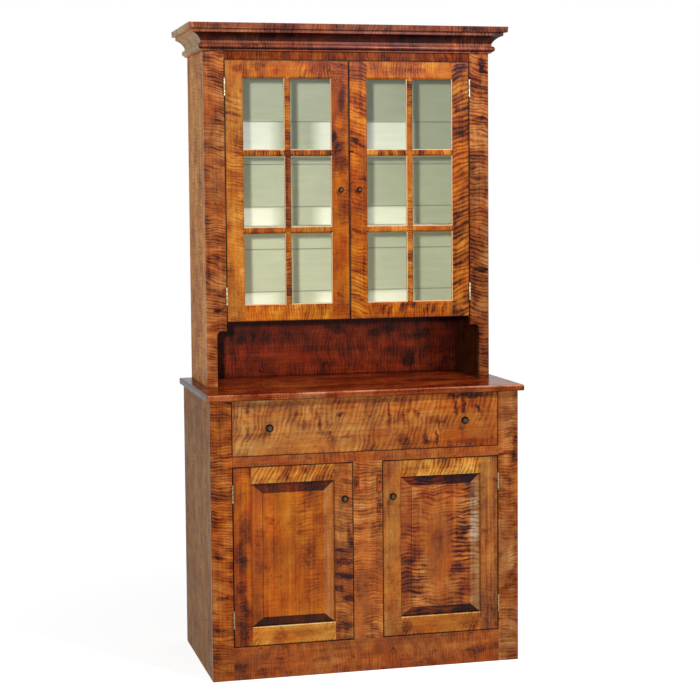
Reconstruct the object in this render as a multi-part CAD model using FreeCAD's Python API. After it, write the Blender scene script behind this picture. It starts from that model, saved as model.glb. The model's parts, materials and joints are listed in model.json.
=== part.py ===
import FreeCAD
import Part
import math
import os

# Step back cupboard: a deep base with a drawer over two panelled doors, and a shallower
# glazed upper case standing on the counter.  Millimetres.  X runs left to right, Y from the
# front to the back and Z up.  The origin is on the floor, at the centre of the whole outline.

# ---------------------------------------------------------------- driving dimensions

# Whole cupboard
TOTAL_HEIGHT = 2080.0

# Boards and frames that both cases share
SIDE_THICKNESS = 20.0
BACK_THICKNESS = 16.0
BACK_RABBET = 10.0            # width of the rabbet in the side that takes the back boards
BACK_LAP = 8.0                # shiplap between neighbouring back boards
BACK_SEAM = 0.8
DADO_DEPTH = 8.0
DOOR_THICKNESS = 20.0         # doors and drawer front
DOOR_STOP_GAP = 0.5           # between a closed door and the board that it closes against
TENON_LENGTH = 32.0
TENON_SHOULDER = 7.0          # wood on each face, in front of and behind a tenon
CASE_TOP_RAIL_SHOULDER = 12.0     # wood above and below a case rail's tenon
BASE_BOTTOM_RAIL_SHOULDER = 20.0
DRAWER_RAIL_SHOULDER = 6.0
DOOR_RAIL_SHOULDER_SHARE = 0.2    # the same on a door rail, as a share of its width
CORNER_ROUND = 2.0            # eased outer corner of the front stiles

# Base case
BASE_WIDTH = 1016.0
BASE_DEPTH = 534.0
COUNTER_TOP = 912.0
COUNTER_THICKNESS = 20.0
COUNTER_FRONT_OVERHANG = 22.0
COUNTER_SIDE_OVERHANG = 14.0
COUNTER_NOSING = 6.0          # rounding of the counter's upper edge
COUNTER_UNDER_ROUND = 2.5
BASE_STILE_WIDTH = 67.5
CENTRE_STILE_WIDTH = 95.5
CENTRE_TENON_REACH = 18.0     # the centre stile's tenons into the rails
CENTRE_TENON_SHOULDER = 10.0
BASE_BOTTOM_RAIL = 105.0
DRAWER_RAIL = 31.0
DRAWER_OPENING = 180.0
BASE_BOARD_THICKNESS = 20.0
BASE_BOARD_RISE = 8.0         # bottom board above its rail, as the stop for the doors
BASE_SHELF_HEIGHT = 375.0     # top of the shelf above the floor
BASE_SHELF_THICKNESS = 18.0
BASE_SHELF_SETBACK = 40.0     # front edge of the shelf behind the front frame
BASE_BACK_BOARDS = 5          # upright, side by side

# Upper case
UPPER_SIDE_SET_IN = 28.5      # the upper case stands this far in from the base's sides
UPPER_DEPTH = 326.0
UPPER_STILE_WIDTH = 66.0
UPPER_FOOT_WIDTH = 34.0       # narrow part of the upper stiles beside the open recess
RECESS_HEIGHT = 210.5         # from the counter to the lower edge of the upper doors
STILE_STEP_DROP = 28.5        # from the bottom of the doors to the step in the stiles
STILE_STEP_ROUND = 16.0
UPPER_TOP_RAIL_SHOWN = 27.0   # top rail below the crown
TOP_BOARD_THICKNESS = 20.0
TOP_BOARD_DROP = 8.0          # top board below the upper edge of the crown
TOP_BOARD_RABBET = 10.0
UPPER_BOARD_THICKNESS = 20.0
UPPER_BOARD_RISE = 4.5        # bottom board above the lower edge of the doors
UPPER_SHELF_THICKNESS = 20.0
UPPER_SHELF_SETBACK = 14.0
RECESS_BACK_BOARD = 288.0     # one wide level board closes the open recess behind
UPPER_BACK_BOARDS = 6         # level boards above it

# Crown moulding: how far each member stands out from the case, and its height
CROWN_HEIGHT = 84.5
CROWN_BACKING = 8.5
CROWN_BEAD_RADIUS = 9.5
CROWN_BEAD_FOOT = 4.0
CROWN_NECK = 7.5
CROWN_COVE_OUT = 31.0
CROWN_COVE_RISE = 25.0
CROWN_COVE_HOLLOW = 4.5       # how deep the cove is hollowed below its chord
CROWN_FILLET = 11.0
CROWN_STEP = 11.5
CROWN_FASCIA_LEAN = 1.5
CROWN_WALL = 14.0             # thickness of the sprung moulding behind the cove
CROWN_SEAT = 34.0             # height of the moulding's face against the case

# Glazed doors
SASH_STILE = 59.5
SASH_TOP_RAIL = 57.5
SASH_BOTTOM_RAIL = 55.0
MUNTIN_WIDTH = 22.0
PANE_COLUMNS = 2
PANE_ROWS = 3
STICKING_BEVEL = 5.0          # moulded front edges round each pane
GLASS_LIP = 8.0               # wood in front of the glass
GLASS_RABBET = 6.0
GLASS_THICKNESS = 3.0
GLASS_EDGE_GAP = 0.8

# Panelled doors
PANEL_HINGE_STILE = 58.5
PANEL_LOCK_STILE = 59.5
PANEL_TOP_RAIL = 54.0
PANEL_BOTTOM_RAIL = 59.0
PANEL_GROOVE_FRONT = 9.0      # front of the groove behind the door's face
PANEL_TONGUE = 6.0
PANEL_TONGUE_REACH = 8.0
PANEL_GROOVE_SPARE = 1.0      # room at the bottom of the groove for the panel to swell
PANEL_FIELD_DEPTH = 0.5       # raised field behind the door's face
PANEL_FIELD_STEP = 1.5
PANEL_SIDE_BEVEL = 36.0
PANEL_END_BEVEL = 31.0
FRAME_EDGE_BEVEL = 1.2        # eased inner edges of the panelled frame

# Gaps round the doors and the drawer
DOOR_END_GAP = 2.5
DOOR_MEETING_GAP = 3.0
DOOR_LOCK_GAP = 2.0
DRAWER_SIDE_GAP = 2.0
DRAWER_END_GAP = 1.5
RUNNING_GAP = 0.3

# Drawer
DRAWER_REAR_SPACE = 48.0      # between the drawer and the back boards
DRAWER_SIDE_THICKNESS = 14.0
DRAWER_BACK_THICKNESS = 14.0
DRAWER_BOTTOM_THICKNESS = 9.0
DRAWER_BOTTOM_RISE = 12.0     # underside of the drawer bottom above the sides' lower edge
DRAWER_GROOVE_DEPTH = 6.0
DOVETAIL_COUNT = 4
DOVETAIL_LAP = 6.0            # wood left in front of the half-blind dovetails
DOVETAIL_SHARE = 0.56         # narrow end of a tail as a share of the spacing
DOVETAIL_SLOPE = 7.0          # one in seven
RUNNER_THICKNESS = 20.0
RUNNER_LEDGE = 24.0           # runner and kicker reach this far in from the front stile
GUIDE_HEIGHT = 30.0
KICKER_THICKNESS = 27.7
KICKER_GAP = 2.0

# Knobs, turned: diameters and places
UPPER_KNOB = 18.0
LOWER_KNOB = 23.0
DRAWER_KNOB = 25.0
UPPER_KNOB_HEIGHT = 424.5     # above the lower edge of the door
LOWER_KNOB_DROP = 113.0       # below the upper edge of the door
DRAWER_KNOB_INSET = 117.0     # from the end of the drawer front

# Butt hinges
HINGE_HEIGHT = 57.0
LEAF_THICKNESS = 1.35
LEAF_GAP = 0.3
LEAF_WIDTH = 18.0
KNUCKLE_RADIUS = 3.2
KNUCKLE_CLEARANCE = 0.3
PIN_RADIUS = 1.45
PIN_CLEARANCE = 0.05

# Turn buttons on the centre stile
BUTTON_LONG_ARM = 31.0
BUTTON_SHORT_ARM = 23.0
BUTTON_WIDTH = 16.0
BUTTON_THICKNESS = 8.0
BUTTON_BEVEL = 1.6
BUTTON_INSET = 9.7            # pivot from the edge of the centre stile
BUTTON_DROP = 68.5            # pivot below the drawer rail
SCREW_RADIUS = 2.4
SCREW_CLEARANCE = 0.1
SCREW_HEAD_RADIUS = 4.6
SCREW_HEAD_HEIGHT = 2.4
SCREW_HEAD_CROWN = 2.6        # radius of the flat on top of the head
SCREW_DEPTH = 16.0

# ---------------------------------------------------------------- places that follow

FRAME_THICKNESS = DOOR_THICKNESS + DOOR_STOP_GAP
KNOB_REACH_SHARE = 0.96       # how far a knob stands out, as a share of its diameter
FRONT_REACH = max(COUNTER_FRONT_OVERHANG, DRAWER_KNOB * KNOB_REACH_SHARE)

BASE_FRONT = -(BASE_DEPTH - FRONT_REACH) / 2
BACK = BASE_FRONT + BASE_DEPTH
BACK_FACE = BACK - BACK_THICKNESS
UPPER_FRONT = BACK - UPPER_DEPTH

BASE_HALF = BASE_WIDTH / 2
UPPER_HALF = BASE_HALF - UPPER_SIDE_SET_IN
BASE_OPENING = BASE_HALF - BASE_STILE_WIDTH
UPPER_OPENING = UPPER_HALF - UPPER_STILE_WIDTH
CENTRE_HALF = CENTRE_STILE_WIDTH / 2

COUNTER_UNDER = COUNTER_TOP - COUNTER_THICKNESS
KICKER_UNDER = COUNTER_UNDER - KICKER_THICKNESS
DRAWER_RAIL_TOP = COUNTER_UNDER - DRAWER_OPENING
DRAWER_RAIL_UNDER = DRAWER_RAIL_TOP - DRAWER_RAIL
CROWN_BOTTOM = TOTAL_HEIGHT - CROWN_HEIGHT
UPPER_RAIL_UNDER = CROWN_BOTTOM - UPPER_TOP_RAIL_SHOWN
CASE_TOP = TOTAL_HEIGHT - TOP_BOARD_DROP
UPPER_DOOR_BOTTOM = COUNTER_TOP + RECESS_HEIGHT
STILE_STEP = UPPER_DOOR_BOTTOM - STILE_STEP_DROP
UPPER_BOARD_UNDER = UPPER_DOOR_BOTTOM + UPPER_BOARD_RISE

HINGE_GAP = 2 * LEAF_THICKNESS + LEAF_GAP
PIN_FORWARD = KNUCKLE_RADIUS + KNUCKLE_CLEARANCE

CUT_SPARE = 1.0               # how far a cutting shape runs past what it cuts
TOUCHING = 0.01               # places closer than this are the same

# ---------------------------------------------------------------- shaping helpers


def box(x0, x1, y0, y1, z0, z1):
    """A board between three pairs of planes."""
    return Part.makeBox(x1 - x0, y1 - y0, z1 - z0, FreeCAD.Vector(x0, y0, z0))


def face_of(place, start, steps):
    """A face from a start point and steps: ("line", end) or ("arc", middle, end)."""
    edges = []
    here = place(*start)
    for step in steps:
        there = place(*step[-1])
        if step[0] == "arc":
            edges.append(Part.Arc(here, place(*step[1]), there).toShape())
        else:
            edges.append(Part.makeLine(here, there))
        here = there
    edges.append(Part.makeLine(here, place(*start)))
    return Part.Face(Part.Wire(edges))


def lines(*points):
    """Straight steps through a few corner points."""
    return [("line", point) for point in points]


def plan_prism(points, z0, z1):
    """An upright prism over a polygon in plan."""
    face = face_of(lambda x, y: FreeCAD.Vector(x, y, z0), points[0], lines(*points[1:]))
    return face.extrude(FreeCAD.Vector(0, 0, z1 - z0))


def mirrored(shape):
    """The same piece on the other side of the cupboard's middle."""
    return shape.mirror(FreeCAD.Vector(0, 0, 0), FreeCAD.Vector(1, 0, 0))


def both_sides(shape):
    """A left piece and its right twin."""
    return [shape, mirrored(shape)]


def cut_all(shape, tools):
    """A piece with the others taken out of it."""
    for tool in tools:
        shape = shape.cut(tool)
    return shape


def edges_where(shape, test):
    """Edges whose middle and direction pass a test."""
    found = []
    for edge in shape.Edges:
        middle = edge.CenterOfMass
        along = edge.tangentAt(edge.FirstParameter)
        if test(middle, along):
            found.append(edge)
    return found


def is_at(value, target):
    return abs(value - target) < TOUCHING


def is_within(value, low, high):
    return low - TOUCHING < value < high + TOUCHING


def save(name, *solids):
    """One STEP file per sub-part."""
    shape = solids[0] if len(solids) == 1 else Part.makeCompound(list(solids))
    shape.exportStep("parts/%s.step" % name)


def upright_cylinder(x, y, z0, z1, radius):
    return Part.makeCylinder(radius, z1 - z0, FreeCAD.Vector(x, y, z0), FreeCAD.Vector(0, 0, 1))


def level_cylinder(x, z, y0, y1, radius):
    return Part.makeCylinder(radius, y1 - y0, FreeCAD.Vector(x, y0, z), FreeCAD.Vector(0, 1, 0))


# ---------------------------------------------------------------- pieces both cases use


def tenoned_rail(x0, x1, y_front, z0, z1, shoulder):
    """A rail with a tenon at each end; shoulder is left above and below the tenon."""
    rail = box(x0, x1, y_front, y_front + FRAME_THICKNESS, z0, z1)
    tenon = box(x0 - TENON_LENGTH, x1 + TENON_LENGTH,
                y_front + TENON_SHOULDER, y_front + FRAME_THICKNESS - TENON_SHOULDER,
                z0 + shoulder, z1 - shoulder)
    return rail.fuse(tenon)


def ease_outer_corner(stile, x, y):
    """Round the upright outer corner of a front stile."""
    corner = edges_where(stile, lambda middle, along: is_at(middle.x, x) and is_at(middle.y, y)
                         and is_at(abs(along.z), 1))
    return stile.makeFillet(CORNER_ROUND, corner)


def equal_places(low, high, count, gap):
    """Lower and upper edges of equal pieces with gaps or bars between them."""
    size = (high - low - (count - 1) * gap) / count
    return [(low + index * (size + gap), low + index * (size + gap) + size)
            for index in range(count)]


def shiplap_boards(places, board):
    """Back boards that each lap behind the next one.  places gives the edges of their front
    faces, and board makes a box between two such edges and two depths."""
    middle = BACK_FACE + BACK_THICKNESS / 2
    boards = []
    for index, (low, high) in enumerate(places):
        rear_low = low if index == 0 else low + BACK_LAP
        rear_high = high if index == len(places) - 1 else high + BACK_LAP
        front_half = board(low, high, BACK_FACE, middle)
        rear_half = board(rear_low, rear_high, middle, BACK)
        boards.append(front_half.fuse(rear_half).removeSplitter())
    return boards


def cross_board(half_width, y0, y1, z0, z1):
    """A bottom board, shelf or top board that runs from side to side."""
    return box(-half_width, half_width, y0, y1, z0, z1)


# ---------------------------------------------------------------- base case


def button_pivot():
    """X and Z of the left turn button's screw in the centre stile."""
    return -(CENTRE_HALF - BUTTON_INSET), DRAWER_RAIL_UNDER - BUTTON_DROP


def button_screw_holes():
    x, z = button_pivot()
    return both_sides(level_cylinder(x, z, BASE_FRONT, BASE_FRONT + SCREW_DEPTH,
                                     SCREW_RADIUS + SCREW_CLEARANCE))


def build_base():
    frame_back = BASE_FRONT + FRAME_THICKNESS
    inner = BASE_HALF - SIDE_THICKNESS
    housed = inner + DADO_DEPTH

    bottom_rail = tenoned_rail(-BASE_OPENING, BASE_OPENING, BASE_FRONT, 0, BASE_BOTTOM_RAIL,
                               BASE_BOTTOM_RAIL_SHOULDER)
    drawer_rail = tenoned_rail(-BASE_OPENING, BASE_OPENING, BASE_FRONT,
                               DRAWER_RAIL_UNDER, DRAWER_RAIL_TOP, DRAWER_RAIL_SHOULDER)
    centre = box(-CENTRE_HALF, CENTRE_HALF, BASE_FRONT, frame_back,
                 BASE_BOTTOM_RAIL, DRAWER_RAIL_UNDER)
    tenon_half = CENTRE_HALF - CENTRE_TENON_SHOULDER
    centre_tenon = box(-tenon_half, tenon_half,
                       BASE_FRONT + TENON_SHOULDER, frame_back - TENON_SHOULDER,
                       BASE_BOTTOM_RAIL - CENTRE_TENON_REACH,
                       DRAWER_RAIL_UNDER + CENTRE_TENON_REACH)
    centre = cut_all(centre.fuse(centre_tenon), button_screw_holes())
    bottom_rail = bottom_rail.cut(centre)
    drawer_rail = drawer_rail.cut(centre)

    stile = box(-BASE_HALF, -BASE_OPENING, BASE_FRONT, frame_back, 0, COUNTER_UNDER)
    stile = cut_all(stile, [bottom_rail, drawer_rail])
    stile = ease_outer_corner(stile, -BASE_HALF, BASE_FRONT)

    back_half = BASE_HALF - BACK_RABBET
    back_boards = shiplap_boards(
        equal_places(-back_half, back_half, BASE_BACK_BOARDS, BACK_SEAM),
        lambda x0, x1, y0, y1: box(x0, x1, y0, y1, 0, COUNTER_UNDER))
    bottom_top = BASE_BOTTOM_RAIL + BASE_BOARD_RISE
    bottom_board = cross_board(housed, frame_back, BACK_FACE,
                               bottom_top - BASE_BOARD_THICKNESS, bottom_top)
    shelf = cross_board(housed, frame_back + BASE_SHELF_SETBACK, BACK_FACE,
                        BASE_SHELF_HEIGHT - BASE_SHELF_THICKNESS, BASE_SHELF_HEIGHT)

    side = box(-BASE_HALF, -inner, frame_back, BACK, 0, COUNTER_UNDER)
    side = cut_all(side, [back_boards[0], bottom_board, shelf])

    for name, piece in (("stile", stile), ("side", side)):
        left, right = both_sides(piece)
        save("base_%s_left" % name, left)
        save("base_%s_right" % name, right)
    save("base_centre_stile", centre)
    save("base_drawer_rail", drawer_rail)
    save("base_bottom_rail", bottom_rail)
    save("base_bottom_board", bottom_board)
    save("base_shelf", shelf)
    save("base_back_boards", *back_boards)


def build_counter():
    """The counter, with its front and end edges rounded and its back edge flush."""
    front = BASE_FRONT - COUNTER_FRONT_OVERHANG
    end = BASE_HALF + COUNTER_SIDE_OVERHANG
    counter = box(-end, end, front, BACK, COUNTER_UNDER, COUNTER_TOP)

    def shown_edge(height):
        def test(middle, along):
            on_level = is_at(middle.z, height) and is_at(along.z, 0)
            return on_level and not is_at(middle.y, BACK)
        return test

    counter = counter.makeFillet(COUNTER_NOSING, edges_where(counter, shown_edge(COUNTER_TOP)))
    counter = counter.makeFillet(COUNTER_UNDER_ROUND,
                                 edges_where(counter, shown_edge(COUNTER_UNDER)))
    save("counter_top", counter)


def build_runners():
    """Each side has a runner under the drawer, a guide beside it and a kicker over it."""
    y0 = BASE_FRONT + FRAME_THICKNESS
    wall = -(BASE_HALF - SIDE_THICKNESS)
    ledge = -(BASE_OPENING - RUNNER_LEDGE)
    pieces = [box(wall, ledge, y0, BACK_FACE, DRAWER_RAIL_TOP - RUNNER_THICKNESS, DRAWER_RAIL_TOP),
              box(wall, -BASE_OPENING, y0, BACK_FACE, DRAWER_RAIL_TOP,
                  DRAWER_RAIL_TOP + GUIDE_HEIGHT),
              box(wall, ledge, y0, BACK_FACE, KICKER_UNDER, COUNTER_UNDER)]
    save("drawer_runner_left", *pieces)
    save("drawer_runner_right", *[mirrored(piece) for piece in pieces])


# ---------------------------------------------------------------- upper case


def sash_heights():
    """Lower and upper edge of the glass opening in an upper door."""
    return (UPPER_DOOR_BOTTOM + SASH_BOTTOM_RAIL,
            UPPER_RAIL_UNDER - DOOR_END_GAP - SASH_TOP_RAIL)


def stepped_stile():
    """Left upper stile: narrow beside the recess, with a rounded step out to the full width."""
    foot = -(UPPER_HALF - UPPER_FOOT_WIDTH)
    arc_centre = (foot + STILE_STEP_ROUND, STILE_STEP - STILE_STEP_ROUND)
    slant = STILE_STEP_ROUND * math.sqrt(0.5)
    arc_middle = (arc_centre[0] - slant, arc_centre[1] + slant)
    steps = lines((foot, COUNTER_TOP), (foot, arc_centre[1]))
    steps.append(("arc", arc_middle, (arc_centre[0], STILE_STEP)))
    steps += lines((-UPPER_OPENING, STILE_STEP), (-UPPER_OPENING, CASE_TOP),
                   (-UPPER_HALF, CASE_TOP))
    face = face_of(lambda x, z: FreeCAD.Vector(x, UPPER_FRONT, z), (-UPPER_HALF, COUNTER_TOP), steps)
    return face.extrude(FreeCAD.Vector(0, FRAME_THICKNESS, 0))


def build_upper():
    frame_back = UPPER_FRONT + FRAME_THICKNESS
    inner = UPPER_HALF - SIDE_THICKNESS
    housed = inner + DADO_DEPTH

    top_rail = tenoned_rail(-UPPER_OPENING, UPPER_OPENING, UPPER_FRONT,
                            UPPER_RAIL_UNDER, CASE_TOP, CASE_TOP_RAIL_SHOULDER)
    stile = stepped_stile().cut(top_rail)
    stile = ease_outer_corner(stile, -UPPER_HALF, UPPER_FRONT)

    back_half = UPPER_HALF - BACK_RABBET
    recess_board = (COUNTER_TOP, COUNTER_TOP + RECESS_BACK_BOARD)
    back_boards = shiplap_boards(
        [recess_board] + equal_places(recess_board[1] + BACK_SEAM, CASE_TOP,
                                      UPPER_BACK_BOARDS, BACK_SEAM),
        lambda z0, z1, y0, y1: box(-back_half, back_half, y0, y1, z0, z1))
    bottom_board = cross_board(housed, frame_back, BACK_FACE, UPPER_BOARD_UNDER,
                               UPPER_BOARD_UNDER + UPPER_BOARD_THICKNESS)
    top_board = cross_board(UPPER_HALF - TOP_BOARD_RABBET, frame_back, BACK_FACE,
                            CASE_TOP - TOP_BOARD_THICKNESS, CASE_TOP)

    # The shelves stand behind the level muntins, so that the doors hide their edges.
    panes = equal_places(*sash_heights(), PANE_ROWS, MUNTIN_WIDTH)
    shelves = []
    for lower_pane, upper_pane in zip(panes, panes[1:]):
        middle = (lower_pane[1] + upper_pane[0]) / 2
        shelves.append(cross_board(housed, frame_back + UPPER_SHELF_SETBACK, BACK_FACE,
                                   middle - UPPER_SHELF_THICKNESS / 2,
                                   middle + UPPER_SHELF_THICKNESS / 2))

    side = box(-UPPER_HALF, -inner, frame_back, BACK, COUNTER_TOP, CASE_TOP)
    back = box(-back_half, back_half, BACK_FACE, BACK, COUNTER_TOP, CASE_TOP)
    side = cut_all(side, [back, bottom_board, top_board] + shelves)

    for name, piece in (("stile", stile), ("side", side)):
        left, right = both_sides(piece)
        save("upper_%s_left" % name, left)
        save("upper_%s_right" % name, right)
    save("upper_top_rail", top_rail)
    save("upper_top_board", top_board)
    save("upper_bottom_board", bottom_board)
    save("upper_back_boards", *back_boards)
    for name, shelf in zip(("low", "high"), shelves):
        save("upper_shelf_%s" % name, shelf)


def crown_profile():
    """Section of the crown as (outwards, up) steps from the case's face: fillet, bead, neck,
    cove, fillet and leaning fascia, hollow behind where the moulding springs out."""
    bead_out = CROWN_BACKING + CROWN_BEAD_RADIUS
    bead_low = CROWN_BOTTOM + CROWN_BEAD_FOOT
    bead_high = bead_low + 2 * CROWN_BEAD_RADIUS
    cove_low = bead_high + CROWN_NECK
    cove_high = cove_low + CROWN_COVE_RISE
    cove_out = CROWN_BACKING + CROWN_COVE_OUT
    chord = math.hypot(CROWN_COVE_OUT, CROWN_COVE_RISE)
    hollow = (CROWN_BACKING + CROWN_COVE_OUT / 2 - CROWN_COVE_HOLLOW * CROWN_COVE_RISE / chord,
              cove_low + CROWN_COVE_RISE / 2 + CROWN_COVE_HOLLOW * CROWN_COVE_OUT / chord)
    fascia_low = cove_high + CROWN_FILLET
    fascia_out = cove_out + CROWN_STEP
    steps = lines((CROWN_BACKING, CROWN_BOTTOM), (CROWN_BACKING, bead_low))
    steps.append(("arc", (bead_out, bead_low + CROWN_BEAD_RADIUS), (CROWN_BACKING, bead_high)))
    steps += lines((CROWN_BACKING, cove_low))
    steps.append(("arc", hollow, (cove_out, cove_high)))
    steps += lines((cove_out, fascia_low), (fascia_out, fascia_low),
                   (fascia_out + CROWN_FASCIA_LEAN, TOTAL_HEIGHT),
                   (cove_out - CROWN_WALL, TOTAL_HEIGHT),
                   (cove_out - CROWN_WALL, cove_high),
                   (0, CROWN_BOTTOM + CROWN_SEAT))
    return steps


def build_crown():
    """The front length and two returns, mitred at the front corners."""
    reach = CROWN_BACKING + CROWN_COVE_OUT + CROWN_STEP + CROWN_FASCIA_LEAN + CUT_SPARE
    steps = crown_profile()
    z0 = CROWN_BOTTOM - CUT_SPARE
    z1 = TOTAL_HEIGHT + CUT_SPARE

    front = face_of(lambda out, up: FreeCAD.Vector(-UPPER_HALF - reach, UPPER_FRONT - out, up),
                    (0, CROWN_BOTTOM), steps)
    front = front.extrude(FreeCAD.Vector(2 * (UPPER_HALF + reach), 0, 0))
    mitre = plan_prism([(-UPPER_HALF, UPPER_FRONT), (UPPER_HALF, UPPER_FRONT),
                        (UPPER_HALF + reach, UPPER_FRONT - reach),
                        (-UPPER_HALF - reach, UPPER_FRONT - reach)], z0, z1)
    save("crown_front", front.common(mitre))

    left = face_of(lambda out, up: FreeCAD.Vector(-UPPER_HALF - out, UPPER_FRONT - reach, up),
                   (0, CROWN_BOTTOM), steps)
    left = left.extrude(FreeCAD.Vector(0, UPPER_DEPTH + reach, 0))
    mitre = plan_prism([(-UPPER_HALF, UPPER_FRONT), (-UPPER_HALF, BACK),
                        (-UPPER_HALF - reach, BACK),
                        (-UPPER_HALF - reach, UPPER_FRONT - reach)], z0, z1)
    left = left.common(mitre)
    save("crown_left", left)
    save("crown_right", mirrored(left))


# ---------------------------------------------------------------- knobs and hinges


def turned(x, face_y, z, profile):
    """A turned piece on a level axis; the profile gives (radius, distance in front of a face)."""
    start = (0, profile[0][1])
    face = face_of(lambda out, forward: FreeCAD.Vector(x + out, face_y - forward, z),
                   start, lines(*profile))
    return face.revolve(FreeCAD.Vector(x, face_y, z), FreeCAD.Vector(0, 1, 0), 360)


def turned_knob(x, face_y, z, diameter):
    """A mushroom knob seated on its door or drawer, in shares of its diameter."""
    shares = ((0.23, 0.0), (0.23, 0.30), (0.50, 0.58), (0.50, 0.70),
              (0.28, KNOB_REACH_SHARE), (0.0, KNOB_REACH_SHARE))
    return turned(x, face_y, z, [(out * diameter, forward * diameter) for out, forward in shares])


def hinge_leaf(pin_x, pin_y, bottom, to_door):
    """One leaf: the case leaf carries the two end knuckles, with the pin fast in them, and the
    door leaf carries the middle one.  Each plate is notched clear of the other's knuckles."""
    third = HINGE_HEIGHT / 3
    top = bottom + HINGE_HEIGHT
    middle = (bottom + third, top - third)
    ends = ((bottom, middle[0] - KNUCKLE_CLEARANCE), (middle[1] + KNUCKLE_CLEARANCE, top))
    notches = ((bottom, middle[0]), (middle[1], top)) if to_door else (
        (middle[0] - KNUCKLE_CLEARANCE, middle[1] + KNUCKLE_CLEARANCE),)
    near = pin_x + LEAF_GAP / 2
    far = near + LEAF_THICKNESS
    x0, x1 = (near, far) if to_door else (2 * pin_x - far, 2 * pin_x - near)
    leaf = box(x0, x1, pin_y, pin_y + PIN_FORWARD + LEAF_WIDTH, bottom, top)
    for low, high in notches:
        leaf = leaf.cut(box(x0, x1, pin_y, pin_y + PIN_FORWARD, low, high))
    for low, high in (middle,) if to_door else ends:
        leaf = leaf.fuse(upright_cylinder(pin_x, pin_y, low, high, KNUCKLE_RADIUS))
    if to_door:
        leaf = leaf.cut(upright_cylinder(pin_x, pin_y, bottom, top, PIN_RADIUS + PIN_CLEARANCE))
    else:
        leaf = leaf.fuse(upright_cylinder(pin_x, pin_y, bottom, top, PIN_RADIUS))
    return leaf.removeSplitter()


def hinge_pair(opening_edge, front, low_rail_edge, high_rail_edge):
    """The two left hinges of a door: their outer ends are level with the rails' inner edges."""
    pin_x = opening_edge + HINGE_GAP / 2
    pin_y = front - PIN_FORWARD
    case_parts = []
    door_parts = []
    for bottom in (low_rail_edge, high_rail_edge - HINGE_HEIGHT):
        case_parts.append(hinge_leaf(pin_x, pin_y, bottom, False))
        door_parts.append(hinge_leaf(pin_x, pin_y, bottom, True))
    return case_parts, door_parts


# ---------------------------------------------------------------- framed doors


def frame_regions(x0, x1, y0, z0, z1, left_stile, right_stile, bottom_rail, top_rail):
    """Where the stiles and rails of a door meet: the rails' tenons go into the stiles."""
    y1 = y0 + DOOR_THICKNESS
    inner_left = x0 + left_stile
    inner_right = x1 - right_stile
    rails = []
    for low, high in ((z0, z0 + bottom_rail), (z1 - top_rail, z1)):
        shoulder = (high - low) * DOOR_RAIL_SHOULDER_SHARE
        rail = box(inner_left, inner_right, y0, y1, low, high)
        tenon = box(inner_left - TENON_LENGTH, inner_right + TENON_LENGTH,
                    y0 + TENON_SHOULDER, y1 - TENON_SHOULDER, low + shoulder, high - shoulder)
        rails.append(rail.fuse(tenon))
    left = cut_all(box(x0, inner_left, y0, y1, z0, z1), rails)
    right = cut_all(box(inner_right, x1, y0, y1, z0, z1), rails)
    return left, right, rails


def save_pair(name, *left_solids):
    """Save a left door's sub-part and the right door's mirrored one."""
    upper_or_lower, piece = name
    save("%s_left_%s" % (upper_or_lower, piece), *left_solids)
    save("%s_right_%s" % (upper_or_lower, piece), *[mirrored(solid) for solid in left_solids])


def build_glazed_doors():
    """Glazed sash: moulded on the front round each pane and rabbeted behind for the glass."""
    x0 = -UPPER_OPENING + HINGE_GAP
    x1 = -DOOR_MEETING_GAP / 2
    y0 = UPPER_FRONT
    y1 = y0 + DOOR_THICKNESS
    z0 = UPPER_DOOR_BOTTOM
    z1 = UPPER_RAIL_UNDER - DOOR_END_GAP
    glass_low, glass_high = sash_heights()
    glass_left = x0 + SASH_STILE
    glass_right = x1 - SASH_STILE
    columns = equal_places(glass_left, glass_right, PANE_COLUMNS, MUNTIN_WIDTH)
    rows = equal_places(glass_low, glass_high, PANE_ROWS, MUNTIN_WIDTH)

    sash = box(x0, x1, y0, y1, z0, z1)
    for left, right in columns:
        for low, high in rows:
            sash = sash.cut(box(left, right, y0, y1, low, high))
    arrises = edges_where(sash, lambda middle, along: is_at(middle.y, y0)
                          and is_within(middle.x, glass_left, glass_right)
                          and is_within(middle.z, glass_low, glass_high))
    sash = sash.makeChamfer(STICKING_BEVEL, arrises)

    panes = []
    margin = GLASS_RABBET - GLASS_EDGE_GAP
    for left, right in columns:
        for low, high in rows:
            sash = sash.cut(box(left - GLASS_RABBET, right + GLASS_RABBET, y0 + GLASS_LIP, y1,
                                low - GLASS_RABBET, high + GLASS_RABBET))
            panes.append(box(left - margin, right + margin, y0 + GLASS_LIP,
                             y0 + GLASS_LIP + GLASS_THICKNESS, low - margin, high + margin))

    hinge_stile, lock_stile, rails = frame_regions(x0, x1, y0, z0, z1, SASH_STILE, SASH_STILE,
                                                   SASH_BOTTOM_RAIL, SASH_TOP_RAIL)
    upright = box(columns[0][1], columns[1][0], y0, y1, glass_low, glass_high)
    bars = [upright]
    for left, right in columns:
        for lower, upper in zip(rows, rows[1:]):
            bars.append(box(left, right, y0, y1, lower[1], upper[0]))

    case_parts, door_parts = hinge_pair(-UPPER_OPENING, y0, glass_low, glass_high)
    knob = turned_knob(x1 - SASH_STILE / 2, y0, z0 + UPPER_KNOB_HEIGHT, UPPER_KNOB)
    save_pair(("upper", "door_hinge_stile"), sash.common(hinge_stile))
    save_pair(("upper", "door_lock_stile"), sash.common(lock_stile))
    save_pair(("upper", "door_rails"), *[sash.common(rail) for rail in rails])
    save_pair(("upper", "door_muntins"), *[sash.common(bar) for bar in bars])
    save_pair(("upper", "door_glass"), *panes)
    save_pair(("upper", "door_hardware"), knob, *door_parts)
    save("upper_case_hinges", *case_parts, *[mirrored(part) for part in case_parts])


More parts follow.
